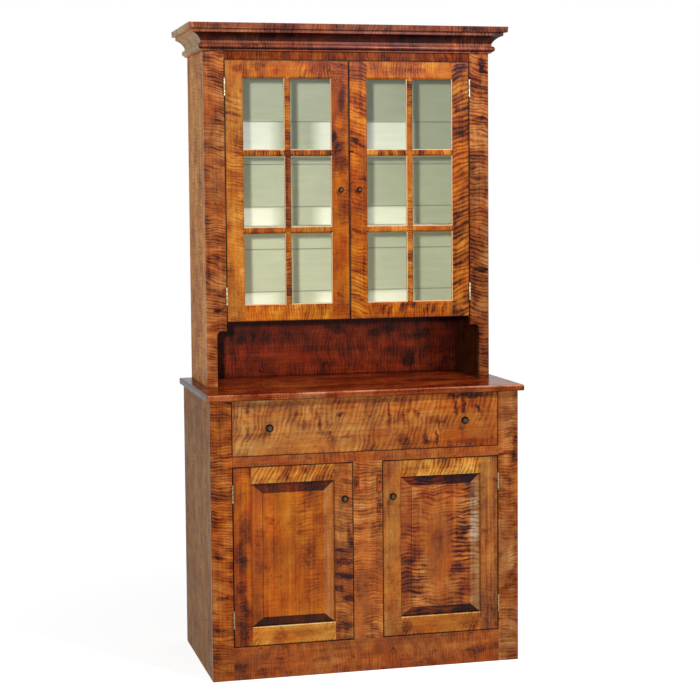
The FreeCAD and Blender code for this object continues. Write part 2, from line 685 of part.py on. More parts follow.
def raised_panel(x0, x1, y_face, z0, z1):
    """A solid panel: tongue all round, long bevels up to a small step and a raised field."""
    tongue_front = y_face + PANEL_GROOVE_FRONT
    step_back = y_face + PANEL_FIELD_DEPTH + PANEL_FIELD_STEP

    def corners(in_x, in_z, y):
        return [FreeCAD.Vector(x, y, z) for x, z in
                ((x0 + in_x, z0 + in_z), (x1 - in_x, z0 + in_z),
                 (x1 - in_x, z1 - in_z), (x0 + in_x, z1 - in_z))]

    outer = corners(0, 0, tongue_front)
    inner = corners(PANEL_SIDE_BEVEL, PANEL_END_BEVEL, step_back)
    rings = [outer, inner]
    for side in range(4):
        follow = (side + 1) % 4
        rings.append([outer[side], outer[follow], inner[follow], inner[side]])
    bevels = Part.makeSolid(Part.makeShell([Part.Face(Part.makePolygon(ring + ring[:1]))
                                            for ring in rings]))

    reach = PANEL_TONGUE_REACH
    tongue = box(x0 - reach, x1 + reach, tongue_front, tongue_front + PANEL_TONGUE,
                 z0 - reach, z1 + reach)
    field = box(x0 + PANEL_SIDE_BEVEL, x1 - PANEL_SIDE_BEVEL, y_face + PANEL_FIELD_DEPTH, step_back,
                z0 + PANEL_END_BEVEL, z1 - PANEL_END_BEVEL)
    return tongue.fuse(bevels).fuse(field).removeSplitter()


def build_panelled_doors():
    x0 = -BASE_OPENING + HINGE_GAP
    x1 = -CENTRE_HALF - DOOR_LOCK_GAP
    y0 = BASE_FRONT
    y1 = y0 + DOOR_THICKNESS
    z0 = BASE_BOTTOM_RAIL + DOOR_END_GAP
    z1 = DRAWER_RAIL_UNDER - DOOR_END_GAP
    panel_left = x0 + PANEL_HINGE_STILE
    panel_right = x1 - PANEL_LOCK_STILE
    panel_low = z0 + PANEL_BOTTOM_RAIL
    panel_high = z1 - PANEL_TOP_RAIL

    frame = box(x0, x1, y0, y1, z0, z1)
    frame = frame.cut(box(panel_left, panel_right, y0, y1, panel_low, panel_high))
    arrises = edges_where(frame, lambda middle, along: is_at(middle.y, y0)
                          and is_within(middle.x, panel_left, panel_right)
                          and is_within(middle.z, panel_low, panel_high))
    frame = frame.makeChamfer(FRAME_EDGE_BEVEL, arrises)
    groove = PANEL_TONGUE_REACH + PANEL_GROOVE_SPARE
    frame = frame.cut(box(panel_left - groove, panel_right + groove,
                          y0 + PANEL_GROOVE_FRONT, y0 + PANEL_GROOVE_FRONT + PANEL_TONGUE,
                          panel_low - groove, panel_high + groove))

    hinge_stile, lock_stile, rails = frame_regions(x0, x1, y0, z0, z1, PANEL_HINGE_STILE,
                                                   PANEL_LOCK_STILE, PANEL_BOTTOM_RAIL,
                                                   PANEL_TOP_RAIL)
    case_parts, door_parts = hinge_pair(-BASE_OPENING, y0, panel_low, panel_high)
    knob = turned_knob(x1 - PANEL_LOCK_STILE / 2, y0, z1 - LOWER_KNOB_DROP, LOWER_KNOB)
    save_pair(("lower", "door_hinge_stile"), frame.common(hinge_stile))
    save_pair(("lower", "door_lock_stile"), frame.common(lock_stile))
    save_pair(("lower", "door_rails"), *[frame.common(rail) for rail in rails])
    save_pair(("lower", "door_panel"),
              raised_panel(panel_left, panel_right, y0, panel_low, panel_high))
    save_pair(("lower", "door_hardware"), knob, *door_parts)
    return case_parts + [mirrored(part) for part in case_parts]


# ---------------------------------------------------------------- turn buttons


def build_buttons(lower_hinges):
    """Wooden turn buttons that hang on screws in the centre stile, clear of the doors."""
    pivot_x, pivot_z = button_pivot()
    back = BASE_FRONT - RUNNING_GAP
    front = back - BUTTON_THICKNESS
    half = BUTTON_WIDTH / 2
    button = box(pivot_x - half, pivot_x + half, front, back,
                 pivot_z - BUTTON_LONG_ARM, pivot_z + BUTTON_SHORT_ARM)
    button = button.makeChamfer(BUTTON_BEVEL, edges_where(
        button, lambda middle, along: is_at(middle.y, front) or is_at(abs(along.y), 1)))
    button = button.cut(level_cylinder(pivot_x, pivot_z, front - CUT_SPARE, back + CUT_SPARE,
                                       SCREW_RADIUS + SCREW_CLEARANCE))

    seat = RUNNING_GAP + BUTTON_THICKNESS + RUNNING_GAP
    screw = turned(pivot_x, BASE_FRONT, pivot_z,
                   [(SCREW_RADIUS, -SCREW_DEPTH), (SCREW_RADIUS, seat), (SCREW_HEAD_RADIUS, seat),
                    (SCREW_HEAD_CROWN, seat + SCREW_HEAD_HEIGHT), (0, seat + SCREW_HEAD_HEIGHT)])

    left, right = both_sides(button)
    save("turn_button_left", left)
    save("turn_button_right", right)
    save("lower_case_hardware", *lower_hinges, *both_sides(screw))


# ---------------------------------------------------------------- drawer


def dovetails(x0, x1, root_y, tip_y, z0, z1):
    """Tails on the end of a drawer side, wider at the tip than at the root."""
    spacing = (z1 - z0) / DOVETAIL_COUNT
    half_root = spacing * DOVETAIL_SHARE / 2
    half_tip = half_root + abs(tip_y - root_y) / DOVETAIL_SLOPE
    tails = []
    for index in range(DOVETAIL_COUNT):
        middle = z0 + (index + 0.5) * spacing
        face = face_of(lambda y, z: FreeCAD.Vector(x0, y, z), (root_y, middle - half_root),
                       lines((tip_y, middle - half_tip), (tip_y, middle + half_tip),
                             (root_y, middle + half_root)))
        tails.append(face.extrude(FreeCAD.Vector(x1 - x0, 0, 0)))
    return tails


def build_drawer():
    """Drawer dovetailed at both ends, with its bottom in grooves and under the back."""
    half = BASE_OPENING - DRAWER_SIDE_GAP
    y0 = BASE_FRONT
    front_back = y0 + DOOR_THICKNESS
    y1 = BACK_FACE - DRAWER_REAR_SPACE
    back_front = y1 - DRAWER_BACK_THICKNESS
    low = DRAWER_RAIL_TOP + RUNNING_GAP
    high = KICKER_UNDER - KICKER_GAP
    floor_under = low + DRAWER_BOTTOM_RISE
    floor_top = floor_under + DRAWER_BOTTOM_THICKNESS

    side = box(-half, -half + DRAWER_SIDE_THICKNESS, front_back, back_front, low, high)
    joints = dovetails(-half, -half + DRAWER_SIDE_THICKNESS, front_back, y0 + DOVETAIL_LAP,
                       floor_top, high)
    joints += dovetails(-half, -half + DRAWER_SIDE_THICKNESS, back_front, y1, floor_top, high)
    for tail in joints:
        side = side.fuse(tail)
    lower_rear = box(-half, -half + DRAWER_SIDE_THICKNESS, back_front, y1, low, floor_top)
    side = side.fuse(lower_rear).removeSplitter()

    inner = half - DRAWER_SIDE_THICKNESS
    floor = box(-inner - DRAWER_GROOVE_DEPTH, inner + DRAWER_GROOVE_DEPTH,
                front_back - DRAWER_GROOVE_DEPTH, y1, floor_under, floor_top)
    side = side.cut(floor)
    sides = both_sides(side)

    knob_z = (DRAWER_RAIL_TOP + COUNTER_UNDER) / 2
    knob_x = half - DRAWER_KNOB_INSET
    front = box(-half, half, y0, front_back, DRAWER_RAIL_TOP + DRAWER_END_GAP,
                COUNTER_UNDER - DRAWER_END_GAP)
    front = cut_all(front, sides + [floor])
    back = cut_all(box(-half, half, back_front, y1, floor_top, high), sides)

    save("drawer_front", front)
    save("drawer_side_left", sides[0])
    save("drawer_side_right", sides[1])
    save("drawer_back", back)
    save("drawer_bottom", floor)
    save("drawer_knobs", *both_sides(turned_knob(-knob_x, y0, knob_z, DRAWER_KNOB)))


# ---------------------------------------------------------------- whole cupboard

os.makedirs("parts", exist_ok=True)
build_base()
build_counter()
build_runners()
build_upper()
build_crown()
build_glazed_doors()
build_buttons(build_panelled_doors())
build_drawer()
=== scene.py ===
import json
import math
import random
from dataclasses import dataclass

import bmesh
import bpy
from mathutils import Matrix, Vector


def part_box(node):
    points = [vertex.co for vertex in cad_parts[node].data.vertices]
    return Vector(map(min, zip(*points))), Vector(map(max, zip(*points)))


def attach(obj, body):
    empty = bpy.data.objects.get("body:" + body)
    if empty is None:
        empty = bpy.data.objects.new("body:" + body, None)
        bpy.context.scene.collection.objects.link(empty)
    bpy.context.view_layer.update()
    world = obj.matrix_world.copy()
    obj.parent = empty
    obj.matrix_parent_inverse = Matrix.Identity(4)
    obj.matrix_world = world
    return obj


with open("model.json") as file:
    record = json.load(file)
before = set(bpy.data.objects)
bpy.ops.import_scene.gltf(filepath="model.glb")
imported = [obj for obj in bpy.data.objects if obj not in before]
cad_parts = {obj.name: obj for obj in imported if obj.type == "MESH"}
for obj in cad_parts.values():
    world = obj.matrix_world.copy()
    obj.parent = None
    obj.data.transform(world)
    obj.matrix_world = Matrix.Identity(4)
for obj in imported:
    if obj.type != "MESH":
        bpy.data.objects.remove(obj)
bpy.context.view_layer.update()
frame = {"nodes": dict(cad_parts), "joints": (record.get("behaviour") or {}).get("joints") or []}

# ------------------------ numbers
MM = 0.001
AXES = "XYZ"
WHITE = (1, 1, 1, 1)

CAMERA_AT = (-1.3881, -5.5706, 1.5373)
CAMERA_LOOKS = (0.24280, 0.96752, -0.07038)
CAMERA_UP = (0.02497, 0.06629, 0.99749)
CAMERA_LENS = 89.12
CAMERA_SHIFT_Y = -0.05
CAMERA_FAR = 100.0

WORLD_LIGHT = 0.25
KEY_WATTS = 209                 # small and far, left of the camera
KEY_AT = (-1.85, -5.55, 1.85)
KEY_AIM = (0, 0, 1.2)
KEY_SIZE = (0.2, 0.2)
HIGH_WATTS = 51.0               # near, high on the right: it reaches low on the back wall
HIGH_AT = (0.66, -1.85, 2.66)
HIGH_AIM = (0, 0, 1.3)
HIGH_SIZE = (0.26, 0.06)
HIGH_COLOUR = (0.98, 0.89, 1.2)

FLOOR_HALF_WIDTH = 30.0
FLOOR_COLOUR = (0.6, 0.6, 0.6, 1)
FLOOR_ROUGH = 0.9
FLOOR_NEAR = (0.7, 2.4)         # the floor's glow grows between these distances from the middle
FLOOR_GLOW = (0.75, 0.86)       # near the cupboard, where its shadow shows, and far from it

GLAZED_FLOOR_Z = 1.127          # the glazed part is painted inside from here up


# ------------------------ node helpers
def rgb(r, g, b):
    """A colour given in display values from 0 to 255, as Blender's linear one."""
    def linear(c):
        c /= 255
        return c / 12.92 if c <= 0.04045 else ((c + 0.055) / 1.055) ** 2.4
    return (linear(r), linear(g), linear(b), 1.0)


class Nodes:
    """Builds shader nodes by short calls. A value may be a number, a tuple or an output socket."""

    def __init__(self, tree):
        self.tree = tree

    def put(self, socket, value):
        if isinstance(value, bpy.types.NodeSocket):
            self.tree.links.new(value, socket)
        elif value is not None:
            socket.default_value = value

    def node(self, kind, inputs=(), **settings):
        made = self.tree.nodes.new(kind)
        for name, value in settings.items():
            setattr(made, name, value)
        for key, value in dict(inputs).items():
            self.put(made.inputs[key], value)
        return made

    def math(self, operation, a, b=None, c=None, clamp=False):
        made = self.node("ShaderNodeMath", operation=operation, use_clamp=clamp)
        for socket, value in zip(made.inputs, (a, b, c)):
            self.put(socket, value)
        return made.outputs[0]

    def add(self, total, *others):
        for other in others:
            total = self.math("ADD", total, other)
        return total

    def take(self, a, b):
        return self.math("SUBTRACT", a, b)

    def times(self, product, *others):
        for other in others:
            product = self.math("MULTIPLY", product, other)
        return product

    def over(self, a, b):
        return self.math("GREATER_THAN", a, b)

    def under(self, a, b):
        return self.math("LESS_THAN", a, b)

    def vector(self, operation, a, b=None):
        made = self.node("ShaderNodeVectorMath", operation=operation)
        self.put(made.inputs[0], a)
        self.put(made.inputs[1], b)
        return made.outputs["Value" if operation in ("LENGTH", "DOT_PRODUCT") else "Vector"]

    def ramp(self, value, low, high, to_low=0.0, to_high=1.0, smooth=True):
        made = self.node("ShaderNodeMapRange", clamp=True)
        made.interpolation_type = "SMOOTHSTEP" if smooth else "LINEAR"
        for key, x in zip(("Value", "From Min", "From Max", "To Min", "To Max"),
                          (value, low, high, to_low, to_high)):
            self.put(made.inputs[key], x)
        return made.outputs["Result"]

    def mix(self, share, a, b, blend="MIX"):
        made = self.node("ShaderNodeMix", data_type="RGBA", blend_type=blend)
        made.clamp_factor = True
        for socket, value in zip((made.inputs[0], made.inputs[6], made.inputs[7]), (share, a, b)):
            self.put(socket, value)
        return made.outputs[2]

    def tinted(self, colour, share):
        """A colour times a share of red, green and blue."""
        return self.mix(1.0, colour, share + (1.0,) if isinstance(share, tuple) else share, "MULTIPLY")

    def blend(self, share, a, b):
        """A vector between a and b."""
        made = self.node("ShaderNodeMix", data_type="VECTOR")
        made.clamp_factor = True
        for socket, value in zip((made.inputs[0], made.inputs[4], made.inputs[5]), (share, a, b)):
            self.put(socket, value)
        return made.outputs[1]

    def noise(self, at, detail=2.0, rough=0.5, warp=0.0, scale=1.0):
        made = self.node("ShaderNodeTexNoise", {"Vector": at, "Scale": scale, "Detail": detail,
                                                "Roughness": rough, "Distortion": warp})
        return made.outputs["Fac"]

    def streaks(self, at, along, across, detail=2.0, rough=0.5, warp=0.0):
        """Noise stretched along the grain. The larger a number, the finer the noise is that way."""
        return self.noise(self.vector("MULTIPLY", at, (along, across, across)), detail, rough, warp)

    def swing(self, *streaks):
        """Such noise about nought."""
        return self.take(self.streaks(*streaks), 0.5)

    def xyz(self, x, y, z):
        made = self.node("ShaderNodeCombineXYZ")
        for socket, value in zip(made.inputs, (x, y, z)):
            self.put(socket, value)
        return made.outputs[0]

    def parts(self, at):
        return self.node("ShaderNodeSeparateXYZ", {"Vector": at}).outputs

    def place(self):
        return self.node("ShaderNodeTexCoord").outputs["Object"]

    def place_along(self, side):
        """Where a point is along one object axis, in metres."""
        return self.parts(self.place())[AXES.index(side)]

    def turned(self, side, sign=1):
        """How far a face looks along one object axis, from -1 to 1."""
        normal = self.node("ShaderNodeTexCoord").outputs["Normal"]
        return self.times(self.parts(normal)[AXES.index(side)], float(sign))

    def eased(self, radius):
        """The normal with edges softened to this radius."""
        return self.node("ShaderNodeBevel", {"Radius": radius}, samples=4).outputs["Normal"]

    def openness(self, reach):
        """How little of what lies within reach shuts a point in, from 0 to 1."""
        return self.node("ShaderNodeAmbientOcclusion", {"Distance": reach}, samples=4).outputs["AO"]

    def show(self, shader, kind="Material"):
        self.put(self.node("ShaderNodeOutput" + kind).inputs["Surface"], shader.outputs[0])

    def colours(self, value, stops):
        made = self.node("ShaderNodeValToRGB", {"Fac": value})
        ramp = made.color_ramp
        while len(ramp.elements) < len(stops):
            ramp.elements.new(0.5)
        for element, (place, colour) in zip(ramp.elements, stops):
            element.position = place
            element.color = colour
        return made.outputs["Color"]


# ------------------------ maple
MIDDLE_TONE = 0.575
WEIGHTS = {
    # how much each feature of the wood changes its tone
    "line": 0.17, "wave": 0.15, "broad": 0.34, "rings": 0.38, "sheen": 0.4,
    "fibre": 0.26, "cloud": 0.66, "blotch": 0.4, "fleck": 0.24, "pores": 0.08}
MAPLE_INPUTS = ("Curl", "Spacing", "Slant", "Cloud", "Blotch", "Plain", "Rings")


def make_maple_group():
    """Figured maple. In it x runs along the grain, y across the face, and z into the board, in metres."""
    tree = bpy.data.node_groups.new("curly_maple", "ShaderNodeTree")
    face = tree.interface
    face.new_socket("At", in_out="INPUT", socket_type="NodeSocketVector")
    for name in MAPLE_INPUTS:
        face.new_socket(name, in_out="INPUT", socket_type="NodeSocketFloat")
    for name in ("Tone", "Height"):
        face.new_socket(name, in_out="OUTPUT", socket_type="NodeSocketFloat")
    n = Nodes(tree)
    given = n.node("NodeGroupInput").outputs
    at = given["At"]
    x, y, z = n.parts(at)[0:3]
    # The curls lean one way and then the other along the board, and ripple across it.
    lean = n.swing(at, 3.5, 2.0, 1.0)
    drift = n.swing(at, 5.0, 12.0, 1.0)
    ripple = n.swing(at, 26.0, 40.0)
    along = n.add(x, n.times(y, given["Slant"]), n.times(drift, 0.034), n.times(ripple, 0.0075),
                  n.times(lean, 0.03))
    bands = n.math("DIVIDE", along, given["Spacing"])
    loose = n.take(n.noise(n.xyz(n.times(bands, 0.36), n.times(y, 9.0), n.times(z, 9.0)), 1.0), 0.5)
    bands = n.add(bands, n.times(loose, 2.6))
    # Each curl is a dark line with a broad light back. It thins and thickens, and fades along its length.
    wave = n.add(n.times(n.math("SINE", n.times(bands, math.tau)), 0.5), 0.5)
    thin = n.noise(n.xyz(n.times(bands, 0.7), n.times(y, 30.0), n.times(z, 30.0)))
    thin = n.ramp(thin, 0.3, 0.7, 0.12, 1.0, smooth=False)
    line = n.ramp(wave, thin, n.add(thin, 0.62))
    broad = n.noise(n.xyz(n.times(bands, 0.34), n.times(y, 15.0), n.times(z, 15.0)))
    broad = n.ramp(broad, 0.34, 0.68, -0.5, 0.5)
    # Whole stretches of a board are plain, others strongly figured.
    where = n.streaks(at, 4.2, 10.0, 2.0, 0.55)
    where = n.ramp(where, n.take(given["Plain"], 0.16), n.add(given["Plain"], 0.14), 0.18, 1.0)
    depth = n.times(given["Curl"], where)
    tone = n.take(MIDDLE_TONE, n.times(line, WEIGHTS["line"], depth))
    tone = n.take(tone, n.times(n.take(wave, 0.5), WEIGHTS["wave"], depth))
    tone = n.take(tone, n.times(broad, WEIGHTS["broad"], depth))
    # Growth rings run the length of the board.
    rings = n.swing(at, 1.8, 95.0, 4.0, 0.66)
    tone = n.add(tone, n.times(rings, WEIGHTS["rings"], given["Rings"]))
    sheen = n.swing(at, 2.4, 6.0)
    tone = n.add(tone, n.times(sheen, WEIGHTS["sheen"], given["Cloud"]))
    # Fibres and the stain's uneven take.
    fibre = n.streaks(at, 45.0, 1100.0, 3.0, 0.6)
    tone = n.add(tone, n.times(n.take(fibre, 0.5), WEIGHTS["fibre"]))
    cloud = n.swing(at, 8.0, 15.0, 4.0, 0.6)
    tone = n.add(tone, n.times(cloud, WEIGHTS["cloud"], given["Cloud"]))
    blot = n.streaks(at, 24.0, 26.0, 4.0, 0.6, 0.5)
    blot = n.times(n.ramp(blot, 0.58, 0.76), given["Blotch"])
    tone = n.take(tone, n.times(blot, WEIGHTS["blotch"]))
    fleck = n.swing(at, 70.0, 210.0, 2.0, 0.6)
    tone = n.add(tone, n.times(fleck, WEIGHTS["fleck"]))
    pores = n.ramp(n.streaks(at, 160.0, 800.0, 1.0), 0.68, 0.78)
    tone = n.take(tone, n.times(pores, WEIGHTS["pores"]))
    out = n.node("NodeGroupOutput")
    n.put(out.inputs["Tone"], tone)
    n.put(out.inputs["Height"], n.add(n.times(fibre, 0.5), n.times(wave, 0.5)))
    return tree


MAPLE = make_maple_group()
GRAIN = {"X": (0, 2, 1), "Y": (1, 0, 2), "Z": (2, 0, 1)}    # which object axes are along, across, deep

TONE_PLACES = {5: (0.0, 0.25, 0.5, 0.75, 1.0), 6: (0.0, 0.2, 0.42, 0.62, 0.82, 1.0)}
TONES = {
    # the stain's colours from the darkest curl to the lightest wood
    "door": ((38, 18, 14), (92, 38, 16), (150, 74, 24), (186, 106, 34), (212, 138, 56), (234, 172, 96)),
    "case": ((32, 15, 14), (78, 34, 20), (128, 62, 30), (160, 88, 44), (184, 114, 64), (206, 144, 92)),
    "counter": ((28, 8, 5), (68, 22, 10), (112, 42, 18), (146, 72, 34), (186, 112, 66)),
    "crown": ((26, 12, 11), (72, 32, 22), (120, 64, 44), (152, 92, 64), (190, 132, 98)),
    "dark": ((20, 8, 5), (58, 22, 10), (104, 42, 18), (138, 66, 30), (170, 96, 50)),
}
STAINS = {
    # how much of a tone's red, green and blue a batch of boards keeps
    "none": (1.0, 1.0, 1.0),
    "amber": (0.55, 0.45, 0.12),
    "honey": (0.55, 0.55, 0.3),
    "ochre": (0.6, 0.7, 0.55),
    "russet": (0.7, 0.6, 0.2),
    "brick": (0.6, 0.6, 0.75),
    "clay": (0.6, 0.7, 0.95),
    "fawn": (0.7, 0.9, 1.15),
    "tan": (0.7, 0.8, 0.65),
    "cherry": (0.75, 0.7, 0.35),
    "walnut": (0.85, 0.85, 0.45),
    "hazel": (0.9, 1.0, 0.6),
    "plum": (0.65, 0.55, 0.35),
    "mahogany": (1.4, 0.9, 0.7),
    # the sides and the crown's ends, which the lamps only graze, made paler: a painted sheen
    "lower_side": (0.9, 1.3, 0.8),
    "upper_side": (2.15, 3.2, 2.4),
    "crown_end": (2.8, 3.4, 2.2),
}
WARM_PATCH = (1.07, 0.9, 0.72, 1.0)
COOL_PATCH = (0.97, 1.06, 1.2, 1.0)
STICKING_HIGHLIGHT = rgb(232, 190, 136)
GAP_SHADE_COLOUR = rgb(24, 13, 8)
STEP_SHADOW_COLOUR = rgb(40, 18, 8)
SEAM_DARK = rgb(20, 16, 10)
SEAM_SHADE = 0.7                # how dark the seams between boards are
SEAM_FILLED = 0.4               # and how much of that paint takes away
RAW_BACK = (0.86, 0.74, 0.62)
WOOD_EASING = 0.0009            # the radius that a board's edges are softened to
WEAR_AND_HIGHLIGHT_LIGHTER = 0.24
WORN_DULLER = 0.15
PAINT_DULLER = 0.25
PAINT_RELIEF = 0.6
RAW_DULLER = 0.3
POLISH_UNEVEN = 0.25
BAR_MIDDLE = 0.206              # the upright muntin's middle, out from the cupboard's
BAR_HALF_WIDTH = 0.0112
STICKING_Y = (-0.0452, -0.0442)     # where the moulded edge round a pane starts, behind the door's face


@dataclass
class Board:
    """How one board looks. Lengths are in metres, except in step."""
    axis: str                   # the object axis that its grain runs along
    tone: str                   # a key of TONES
    stain: str = "none"         # a key of STAINS
    shade: float = 0.0          # how much lighter it is
    contrast: float = 1.12
    curl: float = 1.0
    spacing: float = 0.0095     # from one curl to the next
    slant: float = 0.0
    plain: float = 0.45         # how much of it has little figure
    rings: float = 1.0
    cloud: float = 1.0
    blotch: float = 0.5
    end_dark: float = 0.34      # how much darker its end grain is
    rough: float = 0.34
    coat: float = 0.05
    coat_rough: float = 0.12
    specular: float = 0.1
    lifts: tuple = ()           # (axis, sign, least, most, amount): lighter where a face turns that way
    washes: tuple = ()          # (axis, sign, least, most, share): another colour where a face turns that way
    fades: tuple = ()           # (axis, start, stop, first share, last share) along the board
    step: tuple = ()            # (x, low z, high z) in mm: a painted shadow line beside a raised field
    boards: tuple = ()          # (axis, start, pitch) of boards laid side by side
    bars: object = None         # a mask of the bars whose grain runs along X
    painted: object = None      # a mask of the faces that are painted
    bare_back: bool = False     # the side against the wall was never finished


def grain_place(n, axis, shift):
    parts = n.parts(n.place())
    along, across, deep = (parts[i] for i in GRAIN[axis])
    return n.vector("ADD", n.xyz(along, across, deep), shift)


def wood_shift(name):
    """Which piece of the endless wood a board is cut from."""
    dice = random.Random(name)
    return tuple(dice.uniform(-20, 20) for _ in range(3))


def edge_wear_and_highlight(n, eased):
    """How much of an outside edge's corner a point is: the polish is rubbed thin there, and the colour there
    is lighter, partly as a painted highlight.
    """
    true = n.node("ShaderNodeNewGeometry").outputs["True Normal"]
    turned = n.take(1.0, n.vector("DOT_PRODUCT", eased, true))
    return n.times(n.ramp(turned, 0.015, 0.16), n.ramp(n.openness(0.004), 0.72, 0.95))


def grime_and_painted_shade(n, colour):
    """Old polish gathered where faces meet, and painted shade that darkens the same places."""
    shade = n.ramp(n.openness(0.009), 0.06, 0.6, 0.12, 1.0)
    return n.tinted(colour, n.xyz(shade, shade, shade))


def surface(n, colour, height, gloss, rough, coat, coat_rough, eased, bump=0.0002, specular=0.18):
    """A Principled surface with softened edges, grain relief and an uneven polish."""
    relief = n.node("ShaderNodeBump", {"Strength": 0.5, "Distance": bump, "Height": height, "Normal": eased})
    shader = n.node("ShaderNodeBsdfPrincipled", {
        "Base Color": colour, "Roughness": n.math("ADD", gloss, rough, clamp=True),
        "Normal": relief.outputs["Normal"], "Coat Weight": coat, "Coat Roughness": coat_rough,
        "Specular IOR Level": specular})
    n.show(shader)
    return shader


def new_material(name):
    mat = bpy.data.materials.new(name)
    mat.use_nodes = True
    mat.node_tree.nodes.clear()
    return mat, Nodes(mat.node_tree)


def interior_paint(n):
    """Pale sage paint with brush marks, and painted light and shade across it."""
    at = n.place()
    brush = n.noise(n.vector("MULTIPLY", at, (9.0, 60.0, 70.0)), 3.0, 0.6)
    cloud = n.noise(at, 3.0, scale=6.0)
    tone = n.add(n.times(brush, 0.5), n.times(cloud, 0.5))
    colour = n.mix(n.ramp(tone, 0.3, 0.7), rgb(205, 206, 178), rgb(218, 218, 192))
    # Painted light and shade: the paint is lighter low down and darker to the right.
    colour = n.mix(n.ramp(n.place_along("Z"), 1.75, 1.25), colour, n.tinted(colour, (1.24, 1.19, 1.16)))
    colour = n.mix(n.ramp(n.place_along("X"), -0.1, 0.34), colour, n.tinted(colour, (0.82, 0.83, 0.78)))
    return colour, brush


def bare_wood(n, at):
    """Unfinished wood: its colour, its fibres and its clouding."""
    rings = n.streaks(at, 1.5, 46.0, 4.0, 0.62)
    fibre = n.streaks(at, 30.0, 700.0, 3.0, 0.6)
    cloud = n.streaks(at, 4.0, 12.0, 3.0, 0.55)
    tone = n.add(n.times(rings, 0.35), n.times(fibre, 0.3), n.times(cloud, 0.35))
    colour = n.colours(tone, ((0.3, rgb(162, 114, 68)), (0.5, rgb(200, 156, 104)), (0.7, rgb(224, 188, 140))))
    return colour, fibre, cloud


def add_marks(n, marks):
    """What the grain does at single places: the change of tone and of curl there.

    Each is (kind, x, z, half length, half width, turn, amount), in millimetres and degrees on the face.
    """
    x, _, z = n.parts(n.place())[0:3]
    flat = n.xyz(x, 0.0, z)
    bent = n.node("ShaderNodeTexNoise", {"Vector": flat, "Scale": 36.0, "Detail": 4.0}).outputs["Color"]
    bent = n.vector("MULTIPLY", n.vector("SUBTRACT", bent, (0.5, 0.5, 0.5)), (0.03, 0.0, 0.026))
    flat = n.vector("ADD", flat, bent)
    patchy = n.noise(n.vector("MULTIPLY", flat, (0.6, 1.0, 1.5)), 3.0, 0.6, scale=130.0)
    patchy = n.ramp(patchy, 0.3, 0.7, 0.45, 1.25)
    tone = curl = None
    for kind, x, z, long, wide, turn, amount in marks:
        local = n.node("ShaderNodeMapping", {
            "Vector": flat, "Location": (x * MM, 0, z * MM), "Rotation": (0, -math.radians(turn), 0),
            "Scale": (long * MM, 1.0, wide * MM)}, vector_type="TEXTURE").outputs[0]
        far = n.vector("LENGTH", local)
        here = n.ramp(far, 1.2, 0.4)
        if kind == "knot":
            rings = n.math("COSINE", n.times(far, 13.0))
            here = n.times(n.ramp(far, 1.6, 0.5), n.add(n.times(rings, 0.35), 0.65))
        if kind == "curl":
            change = n.times(here, amount)
            curl = change if curl is None else n.add(curl, change)
        else:
            change = n.times(here, patchy, -amount)
            tone = change if tone is None else n.add(tone, change)
    return tone, curl


def side_by_side(n, at, boards):
    """Each of a row of boards is another piece of the wood. Gives its place there and a mask of the seams."""
    side, start, pitch = boards
    level = n.math("DIVIDE", n.take(n.place_along(side), start), pitch)
    level = n.math("MAXIMUM", level, -0.5)
    which = n.math("FLOOR", level)
    at = n.vector("ADD", at, n.xyz(n.times(which, 7.37), n.times(which, 3.11), 0.0))
    off = n.times(n.math("PINGPONG", level, 0.5), pitch)
    return at, n.ramp(off, 0.0035, 0.0012)


def figure(n, board, at, marks):
    """The wood's tone with its curls and marks, and the height of its grain."""
    toned, curled = add_marks(n, marks) if marks else (None, None)
    curl = board.curl if curled is None else n.math("MAXIMUM", n.add(curled, board.curl), 0.0)
    wood = n.node("ShaderNodeGroup", {
        "At": at, "Curl": curl, "Spacing": board.spacing, "Slant": board.slant, "Cloud": board.cloud,
        "Blotch": board.blotch, "Plain": board.plain, "Rings": board.rings}, node_tree=MAPLE)
    tone = n.add(n.times(n.take(wood.outputs["Tone"], 0.5), board.contrast), 0.5 + board.shade)
    if toned is not None:
        tone = n.add(tone, toned)
    for side, sign, least, most, amount in board.lifts:
        tone = n.add(tone, n.times(n.ramp(n.turned(side, sign), least, most), amount))
    return tone, wood.outputs["Height"]


def stained(n, board, at, tone):
    """The varnished wood's colour for its tone."""
    tones = TONES[board.tone]
    stops = []
    for place, colour in zip(TONE_PLACES[len(tones)], tones):
        kept = tuple(part * share for part, share in zip(rgb(*colour), STAINS[board.stain]))
        stops.append((place, kept + (1.0,)))
    colour = n.colours(tone, stops)
    warmth = n.ramp(n.streaks(at, 7.0, 16.0, 3.0, 0.6), 0.35, 0.65)
    colour = n.tinted(colour, n.mix(warmth, WARM_PATCH, COOL_PATCH))
    for side, sign, least, most, share in board.washes:
        here = n.ramp(n.turned(side, sign), least, most)
        colour = n.mix(here, colour, n.tinted(colour, share))
    for side, start, stop, first, last in board.fades:
        along = n.ramp(n.place_along(side), start, stop)
        colour = n.tinted(colour, n.mix(along, first + (1.0,), last + (1.0,)))
    return colour


def sticking_highlight(n, colour):
    """A painted highlight: the moulded edge round a pane is made pale where it faces up or left."""
    outward = n.turned("Y")
    slope = n.times(n.ramp(outward, -0.97, -0.85), n.ramp(outward, -0.2, -0.4),
                    n.ramp(n.place_along("Y"), *STICKING_Y))
    pale = n.math("MAXIMUM", n.times(n.turned("X"), -0.8), n.turned("Z"))
    return n.mix(n.times(slope, n.ramp(pale, 0.3, 0.6, 0.0, 0.7)), colour, STICKING_HIGHLIGHT)


def painted_gap_shade(n, colour, rim):
    """Painted shade along the outline of a door or drawer front, standing for the dark gap round it."""
    low_x, high_x, low_z, high_z = rim
    x, _, z = n.parts(n.place())[0:3]
    near = n.math("MINIMUM", n.math("MINIMUM", n.take(x, low_x), n.take(high_x, x)),
                  n.math("MINIMUM", n.take(z, low_z), n.take(high_z, z)))
    share = n.times(n.ramp(near, 0.0032, 0.0006), n.ramp(n.turned("Y", -1), -0.2, 0.4))
    return n.mix(n.times(share, 0.86), colour, GAP_SHADE_COLOUR)


